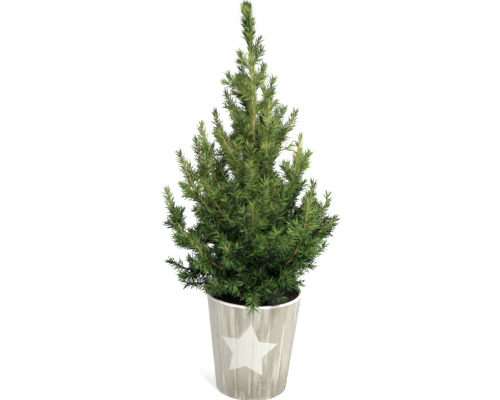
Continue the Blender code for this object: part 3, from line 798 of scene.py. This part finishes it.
def trunk_share(height):
    return (height - SOIL_HEIGHT) / (TRUNK_TIP_HEIGHT - SOIL_HEIGHT)


def trunk_centre(height):
    share = min(max(trunk_share(height), 0.0), 1.0)
    return Vector((-TRUNK_LEAN * share ** TRUNK_LEAN_POWER, 0.0, height))


def trunk_radius(height):
    share = min(max(trunk_share(height), 0.0), 1.0)
    taper = TRUNK_TIP_RADIUS + (TRUNK_FOOT_RADIUS - TRUNK_TIP_RADIUS) * (1.0 - share) ** TRUNK_TAPER_POWER
    return taper + TRUNK_FLARE * math.exp(-(height - SOIL_HEIGHT) / TRUNK_FLARE_HEIGHT)


def outward(azimuth):
    turn = math.radians(azimuth)
    return Vector((math.cos(turn), math.sin(turn), 0.0))


def shoot_path(shoot, step):
    """The path of a shoot from the trunk's bark to the tip of its last needle."""
    heading = outward(shoot.azimuth)
    foot = trunk_centre(shoot.foot) + heading * (trunk_radius(shoot.foot) + GAP)
    tip = trunk_centre(shoot.tip) + heading * shoot.reach
    run = (tip - foot).to_2d().length
    rise = shoot.tip - shoot.foot
    turn = foot + heading * run * (0.5 + 0.4 * shoot.sweep)
    turn.z += rise * (0.5 - 0.4 * shoot.sweep) + shoot.arch * shoot.reach
    return even_path(foot, turn, tip, step)


def tapered(count, start, end):
    return [start + (end - start) * index / (count - 1) for index in range(count)]


# The crown's axes: limbs, stems and side twigs as in the solids, then the finer twigs.

# kind is "trunk", "limb", "stem", "side", "minor", "inner" or "fine". parent is the number of the axis it stands on.
Axis = namedtuple("Axis", "mass kind parent points radii")


def axis_arrays(axes):
    points = np.array([tuple(point) for axis in axes for point in axis.points])
    radii = np.array([radius for axis in axes for radius in axis.radii])
    owners = np.concatenate([np.full(len(axis.points), n) for n, axis in enumerate(axes)])
    return points, radii, owners


def side_path(root, heading, turn, length, angle=SIDE_ANGLE):
    """A side twig's path: off the stem at an angle, then turning up."""
    first, second = frame_at(heading)
    across = math.cos(turn) * first + math.sin(turn) * second
    start = (math.cos(angle) * heading + math.sin(angle) * across).normalized()
    upward = (start + Vector((0.0, 0.0, SIDE_UPTURN))).normalized()
    middle = root + start * length * 0.5
    return even_path(root, middle, middle + upward * length * 0.5, SAMPLE_STEP)


def fits(path, room, arrays, parent):
    """Does a side twig clear the pot and every other axis, past its root on the stem?"""
    points, radii, owners = arrays
    for point in path[ROOT_SAMPLES:]:
        if not clear_of_pot(point, room):
            return False
        distances = np.linalg.norm(points - np.array(point), axis=1) - radii
        if distances[owners != parent].min() < room:
            return False
    return distances[owners == parent].min() > room


def grow_sides(axes, parent, rng):
    """Add a stem's side twigs, by golden turns round it, below the brush at its end."""
    stem = axes[parent]
    length = path_length(stem.points)
    headings = directions(stem.points)
    is_leader = stem.mass == "leader"
    brush = LEADER_BRUSH if is_leader else min(BRUSH_LENGTH, BRUSH_SHARE * length)
    longest = LEADER_SIDE if is_leader else min(SIDE_LONGEST, SIDE_SHARE * brush)
    angle = LEADER_ANGLE if is_leader else SIDE_ANGLE
    turn = rng.uniform(0.0, 2.0 * math.pi)
    place = length - brush
    while place > SIDE_FROM:
        spot = int(place / length * (len(stem.points) - 1))
        place -= SIDE_STEP
        reach = longest * rng.uniform(*SIDE_SPREAD)
        if reach < SIDE_SHORTEST:
            continue
        arrays = axis_arrays(axes)
        for _ in range(SIDE_TRIES):
            turn += GOLDEN_TURN
            path = side_path(stem.points[spot], headings[spot], turn, reach, angle)
            if fits(path, SIDE_CLEARANCE, arrays, parent):
                radii = tapered(len(path), SIDE_RADIUS, SIDE_TIP_RADIUS)
                axes.append(Axis(stem.mass, "side", parent, path, radii))
                break


def trunk_axis():
    count = round((TRUNK_TIP_HEIGHT - SOIL_HEIGHT) / SAMPLE_STEP)
    heights = [SOIL_HEIGHT + (TRUNK_TIP_HEIGHT - SOIL_HEIGHT) * n / count for n in range(count + 1)]
    centres = [trunk_centre(height) for height in heights]
    return Axis(None, "trunk", None, centres, [trunk_radius(height) for height in heights])


def plan_crown():
    """Lay out the limbs, stems and side twigs as the solids have them."""
    axes = [trunk_axis()]
    stems = []
    for shoot in BOUGHS + TRUNK_SHOOTS:
        path = shoot_path(shoot, SAMPLE_STEP)
        length = path_length(path) - BUD_LENGTH
        bare = shoot.bare * length
        if bare:
            limb = cut_path(path, 0.0, bare)
            radii = tapered(len(limb), LIMB_RADIUS, LIMB_TIP_RADIUS)
            axes.append(Axis(shoot.name, "limb", 0, limb, radii))
        stem = cut_path(path, bare, length)
        stems.append(len(axes))
        radii = tapered(len(stem), STEM_RADIUS, STEM_TIP_RADIUS)
        axes.append(Axis(shoot.name, "stem", 0, stem, radii))
    root = trunk_centre(TRUNK_TIP_HEIGHT)
    tip = Vector(LEADER_TIP) - Vector((0.0, 0.0, BUD_LENGTH))
    leader = even_path(root, root.lerp(tip, 0.5), tip, SAMPLE_STEP)
    stems.append(len(axes))
    axes.append(Axis("leader", "stem", 0, leader, tapered(len(leader), TRUNK_TIP_RADIUS, STEM_TIP_RADIUS)))
    for number, stem in enumerate(stems):
        grow_sides(axes, stem, random.Random(100 + number))
    return axes


def camera_axes():
    """The camera's right, up and ahead, with its slight roll."""
    pitch, yaw, roll = (math.radians(value) for value in (CAMERA_PITCH, CAMERA_YAW, CAMERA_ROLL))
    ahead = Vector((math.sin(yaw) * math.cos(pitch), math.cos(yaw) * math.cos(pitch), -math.sin(pitch)))
    level = Vector((math.cos(yaw), -math.sin(yaw), 0.0))
    up = level.cross(ahead)
    return math.cos(roll) * level + math.sin(roll) * up, math.cos(roll) * up - math.sin(roll) * level, ahead


CAMERA_PLACE = (0.0, -CAMERA_DISTANCE, CAMERA_HEIGHT)
CAMERA_AXES = np.array([tuple(axis) for axis in camera_axes()])


def photo_places(points):
    """Where points lie in the photograph: pixels across and down from the top left, and depth in metres."""
    seen = (np.array([tuple(point) for point in points]) - CAMERA_PLACE) @ CAMERA_AXES.T
    across, rise, depth = seen[:, 0], seen[:, 1], seen[:, 2]
    return np.stack([PHOTO_WIDTH / 2.0 + FOCAL_PIXELS * across / depth,
                     PHOTO_HEIGHT / 2.0 - FOCAL_PIXELS * rise / depth, depth], 1)


def in_sky_gap(points, widen=0.0):
    """Which points lie in front of or behind a gap that shows the sky?"""
    away = photo_places(points)[:, None, :2] - SKY_GAPS[None, :, :2]
    return (np.hypot(away[:, :, 0], away[:, :, 1]) < SKY_GAPS[None, :, 2] + widen).any(axis=1)


def open_sky(path):
    """Does a twig keep out of the gaps?"""
    return not in_sky_gap(path[::3], GAP_MARGIN).any()


def shown_places(axes):
    """The places in the photograph of the stems that show there, and of the upper trunk."""
    shown = [photo_places([point for point in axes[0].points if point.z > TRUNK_SHOWS_FROM])]
    for axis in axes:
        if axis.kind == "stem" and axis.mass in SHOWN_SHOOTS:
            shown.append(photo_places(axis.points[round(SHOWN_FROM * len(axis.points)):]))
    return np.concatenate(shown)


def hides(path, shown):
    """Would a twig stand in front of a stem that shows?"""
    places = photo_places(path[::2])
    away = places[:, None, :] - shown[None, :, :]
    near = (np.hypot(away[:, :, 0], away[:, :, 1]) < SHOWN_ROOM) & (away[:, :, 2] < 0.0)
    return near.any(axis=1).mean() > SHOWN_SHARE


class Space:
    """Which axis passes through each small cell of the crown."""

    def __init__(self, cell):
        self.cell = cell
        self.owners = {}

    def key(self, point):
        return tuple(int(math.floor(value / self.cell)) for value in point)

    def add(self, number, points):
        for point in points:
            self.owners.setdefault(self.key(point), set()).add(number)

    def free(self, path, allowed):
        """Do the cells at and round each point hold nothing but the allowed axes?"""
        for point in path:
            x, y, z = self.key(point)
            for shift in ((0, 0, 0), (1, 0, 0), (-1, 0, 0), (0, 1, 0), (0, -1, 0), (0, 0, 1), (0, 0, -1)):
                found = self.owners.get((x + shift[0], y + shift[1], z + shift[2]))
                if found and not found <= allowed:
                    return False
        return True


def within_reach(point, low, high):
    """Is a point inside the solids' own box, with room for its needles?"""
    room = NEEDLE_LENGTH[0] * 0.6 - REACH_SLACK
    return all(low[axis] + room < point[axis] < high[axis] - room for axis in range(3))


def grow_fine(axes, space, shown, parent, rng):
    """Add short twigs along an axis wherever there is room."""
    base = axes[parent]
    total = path_length(base.points)
    headings = directions(base.points)
    count = int(total / FINE_STEP)
    turn = rng.uniform(0.0, 2.0 * math.pi)
    for number in range(count):
        share = (number + rng.uniform(0.3, 0.9)) / count
        if share > FINE_SPAN[base.kind]:
            continue
        if base.kind == "trunk" and base.points[int(share * (len(base.points) - 1))].z > TRUNK_SHOWS_FROM:
            continue
        spot = int(share * (len(base.points) - 1))
        reach = min(rng.uniform(*FINE_LENGTH) * (1.0 - FINE_DWINDLE * share), FINE_SHARE * total)
        for _ in range(FINE_TRIES):
            turn += GOLDEN_TURN
            path = side_path(base.points[spot], headings[spot], turn, reach)
            skip = min(ROOT_SAMPLES, len(path) - 1)
            if not all(clear_of_pot(point, 0.002) for point in path[skip:]):
                continue
            if not within_reach(path[-1], *CAD_BOX):
                continue
            if space.free(path[skip:], {parent}) and open_sky(path) and not hides(path[skip:], shown):
                number_made = len(axes)
                radii = tapered(len(path), FINE_RADIUS, FINE_TIP_RADIUS)
                axes.append(Axis(base.mass, "fine", parent, path, radii))
                space.add(number_made, path[2:])
                break


def grow_tuft(axes):
    """Add the upright twigs that crowd the leading shoot's end."""
    number, leader = next((n, axis) for n, axis in enumerate(axes) if axis.mass == "leader")
    headings = directions(leader.points)
    total = path_length(leader.points)
    for below, count, length, lean in TUFT_TWIGS:
        spot = int((1.0 - below / total) * (len(leader.points) - 1))
        for twig in range(count):
            turn = 2.0 * math.pi * (twig + 0.5) / count
            path = side_path(leader.points[spot], headings[spot], turn, length, math.radians(lean))
            axes.append(Axis("leader", "fine", number, path, tapered(len(path), FINE_RADIUS, FINE_TIP_RADIUS)))


def grow_minor(axes, shown, rng):
    """Add shoots nearly as long as the named ones wherever their outer half has room."""
    space = Space(MINOR_CLEARANCE)
    for number, axis in enumerate(axes):
        if axis.kind != "trunk":
            space.add(number, axis.points)
    low, high = MINOR_TIPS
    turn = 0.0
    for number in range(int((high - low) / MINOR_STEP)):
        tip = low + MINOR_STEP * number
        for _ in range(MINOR_TRIES):
            turn += math.degrees(GOLDEN_TURN)
            reach = crown_radius(tip) * rng.uniform(*MINOR_REACH)
            rise = float(np.interp(tip, MINOR_RISE_HEIGHTS, MINOR_RISES)) * rng.uniform(*MINOR_RISE_SPREAD)
            shoot = Shoot("minor", turn, reach, max(tip - reach * rise, MINOR_LOWEST), tip, MINOR_SWEEP, 0.0, 0.0)
            path = shoot_path(shoot, SAMPLE_STEP)
            path = path[:max(2, round(len(path) - BUD_LENGTH / SAMPLE_STEP))]
            outer = path[round(len(path) * MINOR_FREE_FROM):]
            if hides(path, shown) or not open_sky(path):
                continue
            if space.free(outer, set()) and within_reach(path[-1], *CAD_BOX):
                space.add(len(axes), outer)
                axes.append(Axis(None, "minor", 0, path, tapered(len(path), MINOR_RADIUS, MINOR_TIP_RADIUS)))
                break


def grow_inner(axes, space, rng):
    """Add upswept shoots up the trunk, shorter than the boughs, wherever there is room."""
    low, high = INNER_HEIGHTS
    turn = 0.0
    for number in range(int((high - low) / INNER_STEP)):
        foot = low + INNER_STEP * number
        for _ in range(INNER_TRIES):
            turn += math.degrees(GOLDEN_TURN)
            reach = crown_radius(foot) * rng.uniform(*INNER_REACH)
            tip = foot + reach * rng.uniform(*INNER_RISE)
            shoot = Shoot("inner", turn, reach, foot, tip, INNER_SWEEP, 0.0, 0.0)
            path = shoot_path(shoot, SAMPLE_STEP)
            if space.free(path[ROOT_SAMPLES:], set()) and open_sky(path):
                space.add(len(axes), path)
                axes.append(Axis(None, "inner", 0, path, tapered(len(path), INNER_RADIUS, INNER_TIP_RADIUS)))
                break


def grow_crown():
    """The whole crown: the solids' axes, then the inner shoots and a round of finer twigs."""
    axes = plan_crown()
    grow_tuft(axes)
    shown = shown_places(axes)
    grow_minor(axes, shown, random.Random(MINOR_SEED))
    space = Space(INNER_CLEARANCE)
    for number, axis in enumerate(axes):
        space.add(number, axis.points)
    rng = random.Random(77)
    grow_inner(axes, space, rng)
    space = Space(FINE_CLEARANCE)
    for number, axis in enumerate(axes):
        space.add(number, axis.points)
    bearing = [n for n, axis in enumerate(axes) if axis.kind in FINE_SPAN]
    for parent in bearing:
        grow_fine(axes, space, shown, parent, rng)
    return axes


# Bark.

def tube_points(points, headings, radii, sides, relief, seed):
    """Rings of points round a path, roughened by noise."""
    spots = []
    for index, (point, heading, radius) in enumerate(zip(points, headings, radii)):
        first, second = frame_at(heading)
        for side in range(sides):
            turn = 2.0 * math.pi * side / sides
            across = math.cos(turn) * first + math.sin(turn) * second
            reach = radius
            if relief:
                spot = Vector((math.cos(turn) * 2.2, math.sin(turn) * 2.2, index * 0.22 + seed))
                reach += relief * radius * noise.noise(spot)
            spots.append(point + across * reach)
    return spots


def tube_faces(rings, sides, start):
    faces = []
    for ring in range(rings - 1):
        for side in range(sides):
            after = (side + 1) % sides
            low, high = start + ring * sides, start + (ring + 1) * sides
            faces.append((low + side, low + after, high + after, high + side))
    return faces


def add_tube(points, faces, path, radii, sides, relief=0.0, seed=0.0, first=None):
    """Append one closed tube to lists of points and faces, its ends drawn to a point."""
    start = len(points)
    headings = directions(path, first)
    spots = tube_points(path, headings, radii, sides, relief, seed)
    points.extend(spots)
    faces.extend(tube_faces(len(path), sides, start))
    for ring, centre, order in ((0, path[0], -1), (len(path) - 1, path[-1], 1)):
        tip = len(points)
        points.append(centre + headings[ring] * radii[ring] * 0.4 * order)
        low = start + ring * sides
        for side in range(sides):
            after = (side + 1) % sides
            pair = (low + side, low + after) if order > 0 else (low + after, low + side)
            faces.append((*pair, tip))


def mesh_of(name, points, faces):
    mesh = bpy.data.meshes.new(name)
    mesh.from_pydata([tuple(point) for point in points], [], faces)
    mesh.validate()
    return mesh


def build_trunk():
    """The trunk with its ridged bark, flared at the foot."""
    rings = 230
    heights = [SOIL_HEIGHT + GAP + (TRUNK_TIP_HEIGHT - SOIL_HEIGHT - GAP) * n / (rings - 1) for n in range(rings)]
    path = [trunk_centre(height) for height in heights]
    radii = [trunk_radius(height) * (1.0 + 0.05 * noise_at((0.0, 0.0, height), 90.0)) for height in heights]
    points, faces = [], []
    add_tube(points, faces, path, radii, 24, 0.16, 3.0)
    material = bark_material("trunk_bark", (92, 68, 48), (208, 178, 124), (120, 92, 60), 0.28, 0.40, 60.0)
    return add_piece("barked_trunk", mesh_of("barked_trunk", points, faces), material, "bark", "trunk")


def build_boughs(axes):
    """The main boughs' limbs, from the trunk to where their foliage starts."""
    points, faces = [], []
    names = []
    for number, axis in enumerate(axes):
        if axis.kind == "limb":
            names.append("bough_" + axis.mass)
            add_tube(points, faces, axis.points, axis.radii, 12, 0.16, float(number))
    material = bark_material("bough_bark", (104, 74, 48), (150, 112, 66), (66, 46, 32), 0.17, 0.33, 120.0)
    mesh = mesh_of("barked_boughs", points, faces)
    return add_piece("barked_boughs", mesh, material, "bark", *names)


def twig_piece(axis):
    """The piece that a twig belongs to, or None for the trunk and the limbs."""
    if axis.kind in ("trunk", "limb"):
        return None
    tip = axis.points[-1].z
    if axis.kind == "stem" and TAN_STEMS[0] < tip < TAN_STEMS[1]:
        return "young_stems"
    return "green_twigs" if tip > GREEN_TWIG_FROM and axis.kind != "inner" else "brown_twigs"


def build_twigs(axes, masses):
    """The stems and side twigs that carry the needles, tan, green or brown by kind and height."""
    for name, sides, colour in TWIG_PIECES:
        points, faces = [], []
        for number, axis in enumerate(axes):
            if twig_piece(axis) == name:
                add_tube(points, faces, axis.points, axis.radii, sides, 0.2, float(number))
        add_piece(name, mesh_of(name, points, faces), plain_material(name, colour, 0.7), "bark", *masses)


# Needles.

def crown_radius(height):
    """About how far the crown reaches from the trunk at a height."""
    heights = (0.13, 0.18, 0.24, 0.30, 0.36, 0.42, 0.47, 0.53)
    reaches = (0.085, 0.110, 0.120, 0.105, 0.080, 0.040, 0.022, 0.012)
    return float(np.interp(height, heights, reaches))


def spray_shade(axis, rng):
    """A spray's green: darker inside and low down, lighter at the crown's skin and top; partly the needles' own age
    and partly painted shade inside and low down and painted light at the skin and top.
    """
    tip = axis.points[-1]
    middle = axis.points[len(axis.points) // 2]
    out = math.hypot(middle.x - trunk_centre(middle.z).x, middle.y) / crown_radius(middle.z)
    height = (tip.z - SOIL_HEIGHT) / (LEADER_TIP[2] - SOIL_HEIGHT)
    score = 2.7 * min(out, 1.1) ** 2.0 * (1.0 - 0.35 * height)
    score += float(np.interp(height, (0.0, 0.26, 0.48, 0.72), (1.1, 1.8, 3.2, 3.1)))
    return score + SPRAY_BIAS.get(axis.mass or axis.kind, 0.0) + rng.uniform(-1.3, 1.3)


def shade_rise(axis):
    """How much lighter a twig's needles get from its foot to its tip, partly new growth and partly painted shade on
    the feet inside the crown: most in the low, shaded crown.
    """
    return float(np.interp(axis.points[-1].z, (0.15, 0.24, 0.33, 0.46), (3.4, 2.1, -0.3, -1.9)))


def close_set(axis):
    """Does a twig bear the upright, close-set needles of the trunk's end?"""
    return axis.kind == "trunk" or (axis.mass == "leader" and axis.kind == "stem")


def needle_layout(axis, rng):
    """Where each needle of a twig stands: roots, directions, lengths and shares along the twig."""
    length = path_length(axis.points)
    height = (axis.points[-1].z - SOIL_HEIGHT) / (LEADER_TIP[2] - SOIL_HEIGHT)
    density = NEEDLES_PER_METRE * (TRUNK_DENSITY if close_set(axis) else 1.0 - THINNING * height)
    count = max(6, int(length * density))
    cumulative = [0.0]
    for before, after in zip(axis.points, axis.points[1:]):
        cumulative.append(cumulative[-1] + (after - before).length)
    cumulative = np.array(cumulative) / cumulative[-1]
    spots = np.array([tuple(point) for point in axis.points])
    aims = np.array([tuple(heading) for heading in directions(axis.points)])
    shares = (np.arange(count) + 0.5) / count
    shares = np.clip(shares + rng.normal(0.0, 0.3 / count, count), 0.0, 1.0)
    roots = np.stack([np.interp(shares, cumulative, spots[:, k]) for k in range(3)], 1)
    heads = np.stack([np.interp(shares, cumulative, aims[:, k]) for k in range(3)], 1)
    heads /= np.linalg.norm(heads, axis=1)[:, None]
    return shares, roots, heads


def needle_arrays(axis, rng):
    """Roots, directions, sideways vectors and lengths of all the needles on a twig."""
    shares, roots, heads = needle_layout(axis, rng)
    count = len(shares)
    up = np.array([0.0, 0.0, 1.0])
    first = np.cross(heads, up)
    weak = np.linalg.norm(first, axis=1) < 0.05
    first[weak] = (0.0, 1.0, 0.0)
    first /= np.linalg.norm(first, axis=1)[:, None]
    second = np.cross(heads, first)
    turns = np.arange(count) * GOLDEN_TURN + rng.uniform(0.0, 6.28) + rng.normal(0.0, 0.25, count)
    across = np.cos(turns)[:, None] * first + np.sin(turns)[:, None] * second
    sideways = np.cross(heads, across)
    end_share = np.clip(1.0 - (1.0 - shares) * path_length(axis.points) / TIP_ZONE, 0.0, 1.0)
    height = np.clip((roots[:, 2] - SOIL_HEIGHT) / (LEADER_TIP[2] - SOIL_HEIGHT), 0.0, 1.0)
    lean = LEAN_LOW + (LEAN_HIGH - LEAN_LOW) * height
    tip_lean = TIP_LEAN_LOW + (TIP_LEAN_HIGH - TIP_LEAN_LOW) * height
    if close_set(axis):
        lean = np.full(count, TRUNK_LEAN_ANGLE)
    lean = lean + (np.minimum(tip_lean, lean) - lean) * end_share ** 0.8
    lean = lean + rng.normal(0.0, LEAN_SPREAD, count)
    aims = np.cos(lean)[:, None] * heads + np.sin(lean)[:, None] * across
    size = 0.82 + 0.18 * np.sin(np.pi * np.clip(shares, 0.0, 0.9))
    longest = NEEDLE_LENGTH[0] + (NEEDLE_LENGTH[1] - NEEDLE_LENGTH[0]) * height
    lengths = longest * size * rng.uniform(0.8, 1.12, count)
    if axis.kind == "fine":
        lengths *= 0.9
    radii = np.interp(shares, np.linspace(0.0, 1.0, len(axis.radii)), axis.radii)
    roots = roots + across * radii[:, None] * 0.5
    return shares, roots, aims, heads, sideways, lengths


def keep_needle(apex):
    if not clear_of_pot(apex, 0.0006):
        return False
    if apex[2] < GREEN_TRUNK_FROM:
        centre = trunk_centre(apex[2])
        if math.hypot(apex[0] - centre.x, apex[1]) < trunk_radius(apex[2]) + 0.0005:
            return False
    return True


def needle_mesh(name, arrays):
    """One joined mesh of closed three-sided needles, bowed a little towards the twig's tip."""
    roots, aims, heads, sideways, lengths = arrays
    count = len(roots)
    lifts = np.cross(sideways, aims)
    rings = ((0.0, 0.62), (0.42, 1.0))
    blocks = []
    for along, width in rings:
        centre = roots + aims * (lengths * along)[:, None] + heads * (lengths * NEEDLE_BOW * along ** 2)[:, None]
        for corner in range(3):
            turn = 2.0 * math.pi * corner / 3.0
            offset = math.cos(turn) * sideways + math.sin(turn) * lifts
            blocks.append(centre + offset * (NEEDLE_WIDTH / 2.0 * width))
    tips = roots + aims * lengths[:, None] + heads * (lengths * NEEDLE_BOW)[:, None]
    blocks.append(tips)
    points = np.stack(blocks, 1).reshape(-1, 3)
    pattern = np.array([
        (0, 2, 1),
        (0, 1, 4), (0, 4, 3), (1, 2, 5), (1, 5, 4), (2, 0, 3), (2, 3, 5),
        (3, 4, 6), (4, 5, 6), (5, 3, 6),
    ])
    faces = (np.arange(count)[:, None, None] * 7 + pattern[None]).reshape(-1, 3)
    return mesh_from(name, points, faces)


def green_trunk(trunk):
    """The upper part of the trunk, which still bears needles."""
    points = [point for point in trunk.points if point.z > GREEN_TRUNK_FROM]
    return trunk._replace(points=points, radii=trunk.radii[-len(points):])


def build_needles(axes, masses):
    """All the needles, dealt out by spray to pieces of one green each."""
    batches = [[] for _ in GREENS + OLIVES]
    total = 0
    for number, axis in enumerate(axes):
        if axis.kind == "limb":
            continue
        if axis.kind == "trunk":
            axis = green_trunk(axis)
        chooser = random.Random(number)
        rng = np.random.default_rng(number)
        score = spray_shade(axis, chooser)
        shares, roots, aims, heads, sideways, lengths = needle_arrays(axis, rng)
        apexes = roots + aims * lengths[:, None]
        keep = np.array([keep_needle(apex) for apex in apexes])
        if axis.kind == "trunk" or (axis.kind == "stem" and axis.mass in SHOWN_SHOOTS):
            whole = (-aims[:, 1] < PARTED_AIM) | (rng.random(len(shares)) < PARTED_SHARE)
            keep &= whole | ((axis.kind == "stem") & (shares > PARTED_TO))
        stray = rng.random(len(shares)) < STRAY_SHARE
        keep &= stray | ~(in_sky_gap(apexes) | in_sky_gap((roots + apexes) / 2.0))
        # Each needle's green: the spray's score, lighter towards the twig's tip, held darker low on the plant, with
        # random spread; partly the needles' own tone and partly painted shade inside and low down and painted light
        # at the crown's skin.
        shade = score + shade_rise(axis) * (shares - 0.55)
        shade = np.minimum(shade, np.interp(roots[:, 2], (0.20, 0.27, 0.34), (3.2, 3.9, 5.5)))
        shade += rng.normal(0.0, 1.3, len(shares))
        shade = np.minimum(shade, np.interp(roots[:, 2], (0.24, 0.26, 0.31, 0.33), (3.9, 4.9, 4.9, 5.9)))
        shade = np.clip(np.floor(shade), 0, len(GREENS) - 1).astype(int)
        olive = (roots[:, 2] > OLIVE_FROM) & (shade < DARKEST_GREENS) & (rng.random(len(shares)) < OLIVE_SHARE)
        shade = np.where(olive, len(GREENS) + (shade == DARKEST_GREENS - 1), shade)
        for index in range(len(batches)):
            chosen = keep & (shade == index)
            total += int(chosen.sum())
            if chosen.any():
                batches[index].append(tuple(part[chosen] for part in (roots, aims, heads, sideways, lengths)))
    for (name, colour), batch in zip(GREENS + OLIVES, batches):
        if not batch:
            continue
        material = plain_material("green_" + name, colour, 0.5)
        arrays = [np.concatenate(part) for part in zip(*batch)]
        for number, start in enumerate(range(0, len(arrays[0]), NEEDLES_PER_PIECE), 1):
            part = [array[start:start + NEEDLES_PER_PIECE] for array in arrays]
            title = f"needles_{name}_{number}"
            add_piece(title, needle_mesh(title, part), material, "foliage", *masses, smooth=False)
        print("needles", name, len(arrays[0]))
    print("needles in all", total)


# The stage.

def build_camera():
    """The camera at the photograph's viewing angle, with its slight roll."""
    right, up, ahead = camera_axes()
    data = bpy.data.cameras.new("camera")
    data.sensor_width = SENSOR_WIDTH
    data.lens = FOCAL_PIXELS * SENSOR_WIDTH / PHOTO_WIDTH
    camera = bpy.data.objects.new("camera", data)
    turn = Matrix((right, up, -ahead)).transposed()
    camera.matrix_world = Matrix.Translation(CAMERA_PLACE) @ turn.to_4x4()
    bpy.context.scene.collection.objects.link(camera)
    bpy.context.scene.camera = camera


def add_area(name, place, target, size, power):
    data = bpy.data.lights.new(name, "AREA")
    data.size = size
    data.energy = power
    light = bpy.data.objects.new(name, data)
    light.location = place
    light.rotation_euler = (Vector(target) - Vector(place)).to_track_quat("-Z", "Y").to_euler()
    bpy.context.scene.collection.objects.link(light)


def camera_share(tree, low, high):
    """A value that is high where the camera looks straight at a thing, and low for all other light."""
    path = tree.nodes.new("ShaderNodeLightPath")
    share = tree.nodes.new("ShaderNodeMapRange")
    share.inputs["To Min"].default_value = low
    share.inputs["To Max"].default_value = high
    tree.links.new(path.outputs["Is Camera Ray"], share.inputs["Value"])
    return share.outputs["Result"]


def floor_material():
    """A plain floor that reads as white round its soft shadow."""
    nodes = Nodes("floor", 0.9, Specular_IOR_Level=0.1, Emission_Color=(1.0, 1.0, 1.0, 1.0))
    nodes.colour(linear((250, 250, 250)))
    nodes.link(camera_share(nodes.tree, 0.0, FLOOR_GLOW), nodes.shader.inputs["Emission Strength"])
    return nodes.material


def build_stage():
    """A plain pale floor and soft studio light."""
    mesh = bpy.data.meshes.new("floor")
    shape = bmesh.new()
    bmesh.ops.create_grid(shape, x_segments=1, y_segments=1, size=6.0)
    shape.to_mesh(mesh)
    shape.free()
    floor = bpy.data.objects.new("floor", mesh)
    floor.location.z = -0.0002
    mesh.materials.append(floor_material())
    bpy.context.scene.collection.objects.link(floor)
    world = bpy.data.worlds.new("studio")
    world.use_nodes = True
    background = world.node_tree.nodes["Background"]
    background.inputs["Color"].default_value = (1.0, 1.0, 1.0, 1.0)
    strength = camera_share(world.node_tree, SKY_LIGHT, SKY_WHITE)
    world.node_tree.links.new(strength, background.inputs["Strength"])
    bpy.context.scene.world = world
    middle = (0.0, 0.0, 0.25)
    add_area("key", (0.5, -1.3, 1.9), middle, 0.4, 36.0)
    add_area("right", (1.6, 0.2, 0.7), middle, 1.2, 12.0)
    bpy.context.scene.view_settings.view_transform = "Standard"


def main():
    build_camera()
    build_stage()
    build_pot()
    build_star()
    build_soil()
    axes = grow_crown()
    masses = [name for name in NODES if name.startswith("foliage_")]
    build_trunk()
    build_boughs(axes)
    build_twigs(axes, masses)
    build_needles(axes, masses)
    kinds = [axis.kind for axis in axes]
    print({kind: kinds.count(kind) for kind in set(kinds)},
          "metres", round(sum(path_length(a.points) for a in axes), 2))


main()
